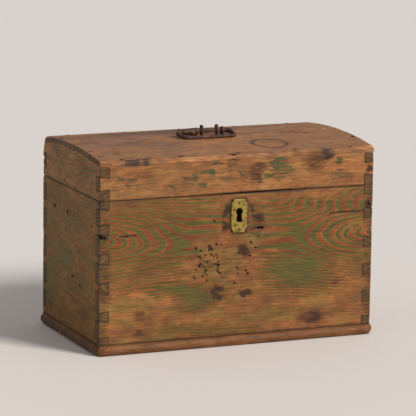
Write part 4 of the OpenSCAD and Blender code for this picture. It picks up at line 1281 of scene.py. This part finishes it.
@dataclass
class SheetMetal:
    """A flat piece of hammered metal, copied from its CAD piece and left uneven."""

    # Edges longer in mm and sharper in degrees than this are eased; shading breaks at that angle
    SHORT, SHARP = 0.9, 40.0

    node: str
    body: str
    slot: str
    step: float = 3.0
    ease: float = 0.3
    hammer: float = 0.15
    scale: float = 9.0

    def build(self, mat: Material, cutter: Object | None = None) -> None:
        """Makes the piece and hands it to the frame.

        Args:
            mat: its material.
            cutter: holes and breaks to cut from it, used up.
        """
        lo, hi = (np.array(c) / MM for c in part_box(self.node))
        bm = copy_of(self.node)
        edges = [e for e in bm.edges if len(e.link_faces) == 2 and e.calc_length() > self.SHORT
                 and e.calc_face_angle(0.0) > math.radians(self.SHARP)]
        bmesh.ops.bevel(bm, geom=edges, offset=self.ease, offset_type="OFFSET", segments=2,
                        profile=0.6, affect="EDGES", clamp_overlap=True)
        for axis in range(3):
            count = int((hi[axis] - lo[axis]) / self.step)
            slice_at(bm, axis, np.linspace(lo[axis], hi[axis], count + 1)[1:-1])
        bm.normal_update()
        for vert in bm.verts:
            lump = noise.noise(vert.co / self.scale) + 0.5 * noise.noise(vert.co / self.scale * 2.7)
            vert.co += vert.normal * (lump - 0.4) * self.hammer
        bmesh.ops.triangulate(bm, faces=[f for f in bm.faces if len(f.verts) > 4])
        bmesh.ops.scale(bm, vec=(MM,) * 3, verts=bm.verts)
        obj = make(self.node + "_hammered", bm, mat)
        if cutter:
            cut_away(obj, cutter)
        shade(obj, self.SHARP)
        place_piece(obj, self.body, self.slot, self.node)


@dataclass
class ForgedBar:
    """A forged iron bar or eye: the CAD piece drawn in soft, hammered lumps."""

    # Shading breaks at this many degrees
    CREASE = 60.0

    node: str
    body: str
    slot: str
    voxel: float = 0.5
    lump: float = 0.35
    smooth: int = 4
    swell: float = 0.0

    def build(self, mat: Material) -> None:
        """Makes the piece and hands it to the frame.

        Args:
            mat: its material.
        """
        obj = make(self.node + "_forged", copy_of(self.node), mat)
        mod = obj.modifiers.new("skin", "REMESH")
        mod.mode, mod.voxel_size = "VOXEL", self.voxel
        evaluated(obj)
        bm = bmesh.new()
        bm.from_mesh(obj.data)
        for _ in range(self.smooth):
            bmesh.ops.smooth_vert(bm, verts=bm.verts, factor=0.5, use_axis_x=True, use_axis_y=True,
                                  use_axis_z=True)
        bm.normal_update()
        for vert in bm.verts:
            wave = noise.noise(vert.co / 7.0) + 0.4 * noise.noise(vert.co / 2.2)
            vert.co += vert.normal * (wave * self.lump + self.swell)
        bmesh.ops.scale(bm, vec=(MM,) * 3, verts=bm.verts)
        bm.to_mesh(obj.data)
        bm.free()
        shade(obj, self.CREASE)
        place_piece(obj, self.body, self.slot, self.node)


class NailSmith(PointWork):
    """Hand-made nails, one per CAD nail: a lens for the head and a tapered shank."""

    # Shading breaks at this many degrees; a head is looked for this near an end, in metres
    CREASE, HEAD = 50.0, 0.0012

    def __init__(self, mat: Material) -> None:
        """Draws the node tree once.

        Args:
            mat: the nails' iron.
        """
        super().__init__("wrought_nails", "Head Rise")
        t = self.tree
        head = add(t, "GeometryNodeMeshUVSphere", {"Segments": 12, "Rings": 7, "Radius": 1.0})
        radius, length = (add(t, NAMED, {"Name": key}, data_type="FLOAT").outputs["Attribute"]
                          for key in ("radius", "length"))
        axis = add(t, NAMED, {"Name": "axis"}, **VECTOR).outputs["Attribute"]
        turn = add(t, "FunctionNodeAlignRotationToVector", {"Vector": axis}, axis="Z")
        vary = add(t, "FunctionNodeRandomValue", {"Min": 0.88, "Max": 1.08,
                                                  "Seed": self.given["Seed"]}, data_type="FLOAT")
        wide = add(t, MATH, {0: radius, 1: vary}, **MULTIPLY)
        shank = add(t, "GeometryNodeMeshCone", {"Vertices": 6, "Radius Top": 0.45,
                                                "Radius Bottom": 0.12, "Depth": 1.0})
        lowered = add(t, "GeometryNodeTransform", {"Geometry": shank.outputs["Mesh"],
                                                   "Translation": (0.0, 0.0, -1.0)})
        heads, shanks = (
            add(t, ON_POINTS, {"Points": self.given["Geometry"], "Instance": shape, "Rotation": turn,
                               "Scale": add(t, JOIN, {0: wide, 1: wide, 2: long})})
            for shape, long in ((head.outputs["Mesh"], self.given["Head Rise"]), (lowered, length)))
        both = add(t, "GeometryNodeJoinGeometry", {0: heads})
        t.links.new(shanks.outputs[0], both.inputs[0])
        self.close(both, 0.16 * MM, mat)

    def nails(self, node: str, body: str, rise: float, seed: int) -> None:
        """Makes the nails of one CAD piece.

        Args:
            node: the CAD nails.
            body: the body they ride on.
            rise: how far a head stands proud, in mm.
            seed: of the hand-made unevenness.
        """
        places, axes, radii, lengths = (np.array(c) for c in zip(*self._heads(node)))
        obj = self.draw(node + "_wrought", places,
                        {"axis": axes, "radius": radii, "length": lengths},
                        {"Seed": seed, "Head Rise": rise * MM})
        shade(obj, self.CREASE)
        place_piece(obj, body, "nail_iron", node)

    def _heads(self, node: str) -> list[tuple[np.ndarray, np.ndarray, float, float]]:
        """Finds the nails of a CAD piece.

        Args:
            node: the CAD nails.

        Returns:
            Head middle, outward axis, head radius and length of each, in metres.
        """
        bm = copy_of(node, 1.0)
        found, seen = [], set()
        for start in bm.verts:
            if start in seen:
                continue
            group, queue = [], [start]
            seen.add(start)
            while queue:
                vert = queue.pop()
                group.append(vert.co)
                for edge in vert.link_edges:
                    other = edge.other_vert(vert)
                    if other not in seen:
                        seen.add(other)
                        queue.append(other)
            p = np.array(group)
            span = np.ptp(p, axis=0)
            k = int(np.argmax(span))
            rest = [i for i in range(3) if i != k]
            ends = {}
            for sign in (-1, 1):
                tip = (sign * p[:, k]).max()
                ring = p[sign * p[:, k] > tip - self.HEAD]
                ends[sign] = np.ptp(ring[:, rest], axis=0).max() / 2
            sign = max(ends, key=ends.get)
            place = (p.min(0) + p.max(0)) / 2
            place[k] = sign * (sign * p[:, k]).max()
            axis = np.zeros(3)
            axis[k] = sign
            found.append((place, axis, ends[sign], float(span[k])))
        bm.free()
        return found


@dataclass
class KeyholePlate:
    """The brass plate over the keyhole, with spare holes and one broken corner."""

    # In mm: x, z and radius of each spare hole, of which the last breaks the corner off, then the
    # plate's face and how far the holes are cut
    stray: tuple[tuple[float, float, float], ...] = (
        (7.2, 217.3, 1.4), (-9.3, 209.7, 1.1), (11.0, 211.3, 1.0), (-6.9, 185.6, 1.4),
        (-2.6, 187.4, 1.0), (12.6, 178.2, 3.6))
    face: float = -123.3
    depth: float = 8.0

    def build(self, brass: Material, pits: PitMaker) -> None:
        """Makes the plate.

        Args:
            brass: its material.
            pits: cuts the spare holes.
        """
        places = np.array([(x, self.face, z) for x, z, _ in self.stray]) * MM
        sizes = np.array([(2 * r, 2 * r, self.depth) for _, _, r in self.stray]) * MM
        cutter = pits.plugs("plate_holes", places, sizes, (math.pi / 2, 0.0, 0.0), 4)
        plate = SheetMetal("escutcheon", "chest", "brass", 1.5, 0.3, 0.12, 6.0)
        plate.build(brass, cutter)


class Ironwork:
    """Hinges, lock and handle."""

    HINGES = (("left_lower_hinge_strap", "chest"), ("right_lower_hinge_strap", "chest"),
              ("left_upper_hinge_strap", "lid"), ("right_upper_hinge_strap", "lid"))
    LOCK = (("lock_plate", "chest", 4.0), ("lock_case", "chest", 4.0), ("lock_staple", "lid", 2.0))
    NAILS = (("base_nails", "chest", 0.05), ("lock_nails", "chest", 0.5),
             ("lower_hinge_nails", "chest", 0.5),
             ("upper_hinge_nails", "lid", 0.5), ("staple_nails", "lid", 0.5))

    def build(self) -> None:
        """Makes the hinges, lock, handle and nails."""
        # Wrought iron: brown-black, with orange rust on hinges and nails and a hand-worn loop.
        # The lock is cleaner sheet iron, its moving pieces grey filed steel
        rust = MetalFinish("rusted_hinge_iron", "#3d2c22", "#6a3e25", 0.25, 0.68, 7.0, 0.5)
        forged = MetalFinish("forged_handle_iron", "#3d2419", "#6b3a21", 0.12, 0.62, 6.0, 0.4, seed=9.0)
        lock = MetalFinish("lock_iron", "#433a33", "#62452f", 0.4, 0.55, 12.0, 0.35, seed=3.0)
        steel = MetalFinish("lock_steel", "#6a655f", "#4f4238", 0.8, 0.42, 8.0, 0.25, seed=5.0)
        nail = MetalFinish("nail_iron", "#33261d", "#5c3822", 0.25, 0.65, 4.0, 0.5, seed=7.0)
        iron, hung = rust.build(), forged.build()
        for node, body in self.HINGES:
            SheetMetal(node, body, "hinge_iron").build(iron)
        locked = lock.build()
        for node, body, step in self.LOCK:
            SheetMetal(node, body, "lock_iron", step).build(locked)
        ForgedBar("handle_loop", "handle", "handle_iron", swell=0.45).build(hung)
        for node in ("left_handle_eye", "right_handle_eye"):
            ForgedBar(node, "lid", "handle_iron", 0.35, 0.2, 2).build(hung)
        smith = NailSmith(nail.build())
        for seed, (node, body, rise) in enumerate(self.NAILS):
            smith.nails(node, body, rise, seed + 1)
        # Nail heads in the lid's top, under the same dust as the wood
        dusty = MetalFinish("dusty_nail_iron", "#5a3b24", "#6d482c", 0.05, 0.7, 4.0, 0.4, seed=8.0)
        NailSmith(dusty.build()).nails("lid_top_nails", "lid", 0.2, 11)
        bright = steel.build()
        for node, mat in (("lock_bolt", bright), ("lock_spring", bright), ("lock_key_pin", bright),
                          ("lock_keepers", locked), ("hinge_pins", iron)):
            paint_node(node, mat)


def paint_node(node: str, mat: Material) -> None:
    """Gives a CAD piece that stays as it is a better material.

    Args:
        node: the CAD node.
        mat: the material.
    """
    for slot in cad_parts[node].material_slots:
        slot.material = mat
    LOG.info("%s: new finish", node)


@dataclass
class Studio:
    """Floor, light and the camera at the photo's angle."""

    # The camera in metres, degrees and millimetres of lens and sensor, and the floor in metres
    place: tuple[float, float, float] = (-1.684457, -3.908087, 0.991039)
    azimuth: float = -23.33948
    elevation: float = 10.65443
    roll: float = 0.8141
    lens: float = 242.19
    sensor: float = 36.0
    far: float = 100.0
    floor: float = 30.0
    # One broad window light, its width in degrees, and even light from all round
    sun_from: tuple[float, float, float] = (0.467, -0.672, 0.574)
    sun: float = 2.9
    sun_width: float = 18.0
    fill: float = 0.38

    def build(self) -> None:
        """Sets the stage."""
        scene = bpy.context.scene
        scene.view_settings.view_transform = "Standard"
        bm = bmesh.new()
        bmesh.ops.create_grid(bm, x_segments=1, y_segments=1, size=self.floor)
        # Matt painted board: pale and warm, with soft shadows
        floor = make("floor", bm, PlainFinish("pale_floor", "#e8dfd6", 0.7).build())
        world = bpy.data.worlds.new("studio_air")
        world.use_nodes = True
        air = world.node_tree.nodes["Background"]
        air.inputs["Color"].default_value = linear("#fbfaff")
        air.inputs["Strength"].default_value = self.fill
        scene.world = world
        lamp = bpy.data.lights.new("window", "SUN")
        lamp.energy, lamp.angle = self.sun, math.radians(self.sun_width)
        light = bpy.data.objects.new("window", lamp)
        light.rotation_euler = Vector(self.sun_from).to_track_quat("Z", "Y").to_euler()
        scene.collection.objects.link(light)
        self._camera(scene)

    def _camera(self, scene: Scene) -> None:
        """Puts the camera where the photo was taken from.

        Args:
            scene: the scene it goes into.
        """
        az, el, roll = (math.radians(v) for v in (self.azimuth, self.elevation, self.roll))
        back = Vector((math.sin(az) * math.cos(el), -math.cos(az) * math.cos(el), math.sin(el)))
        right = (-back).cross(Vector((0, 0, 1))).normalized()
        up = right.cross(-back).normalized()
        x = right * math.cos(roll) + up * math.sin(roll)
        y = -right * math.sin(roll) + up * math.cos(roll)
        data = bpy.data.cameras.new("photo_camera")
        data.lens, data.sensor_width, data.clip_end = self.lens, self.sensor, self.far
        camera = bpy.data.objects.new("photo_camera", data)
        turn = Matrix((x, y, back)).transposed().to_4x4()
        camera.matrix_world = Matrix.Translation(self.place) @ turn
        scene.collection.objects.link(camera)
        scene.camera = camera


def main() -> None:
    """Builds the sub-assemblies in order."""
    logging.basicConfig(level=logging.INFO)
    # Shaded wood deep in a hole, and broken wood gone brown, darkened further as painted shade in the
    # chips
    hole = PlainFinish("dark_hole", "#140c07", 1.0, 0.0).build()
    broken = PlainFinish("old_break_and_painted_shade", "#2c190e", 0.9, 0.1).build()
    kit = Kit(PitMaker(hole), hole, broken)
    Chest().build(kit)
    Lid().build(kit)
    # Sheet brass dulled by handling, and darker pins
    brass = MetalFinish("worn_brass", "#a8904a", "#7d6a30", 0.85, 0.42, 5.0, 0.2, seed=2.0).build()
    KeyholePlate().build(brass, kit.pits)
    paint_node("escutcheon_pins", MetalFinish("brass_pins", "#7a5c36", "#4a3522", 0.6, 0.5, 2.0,
                                              0.3, seed=6.0).build())
    Ironwork().build()
    Studio().build()


if __name__ == "__main__":
    main()
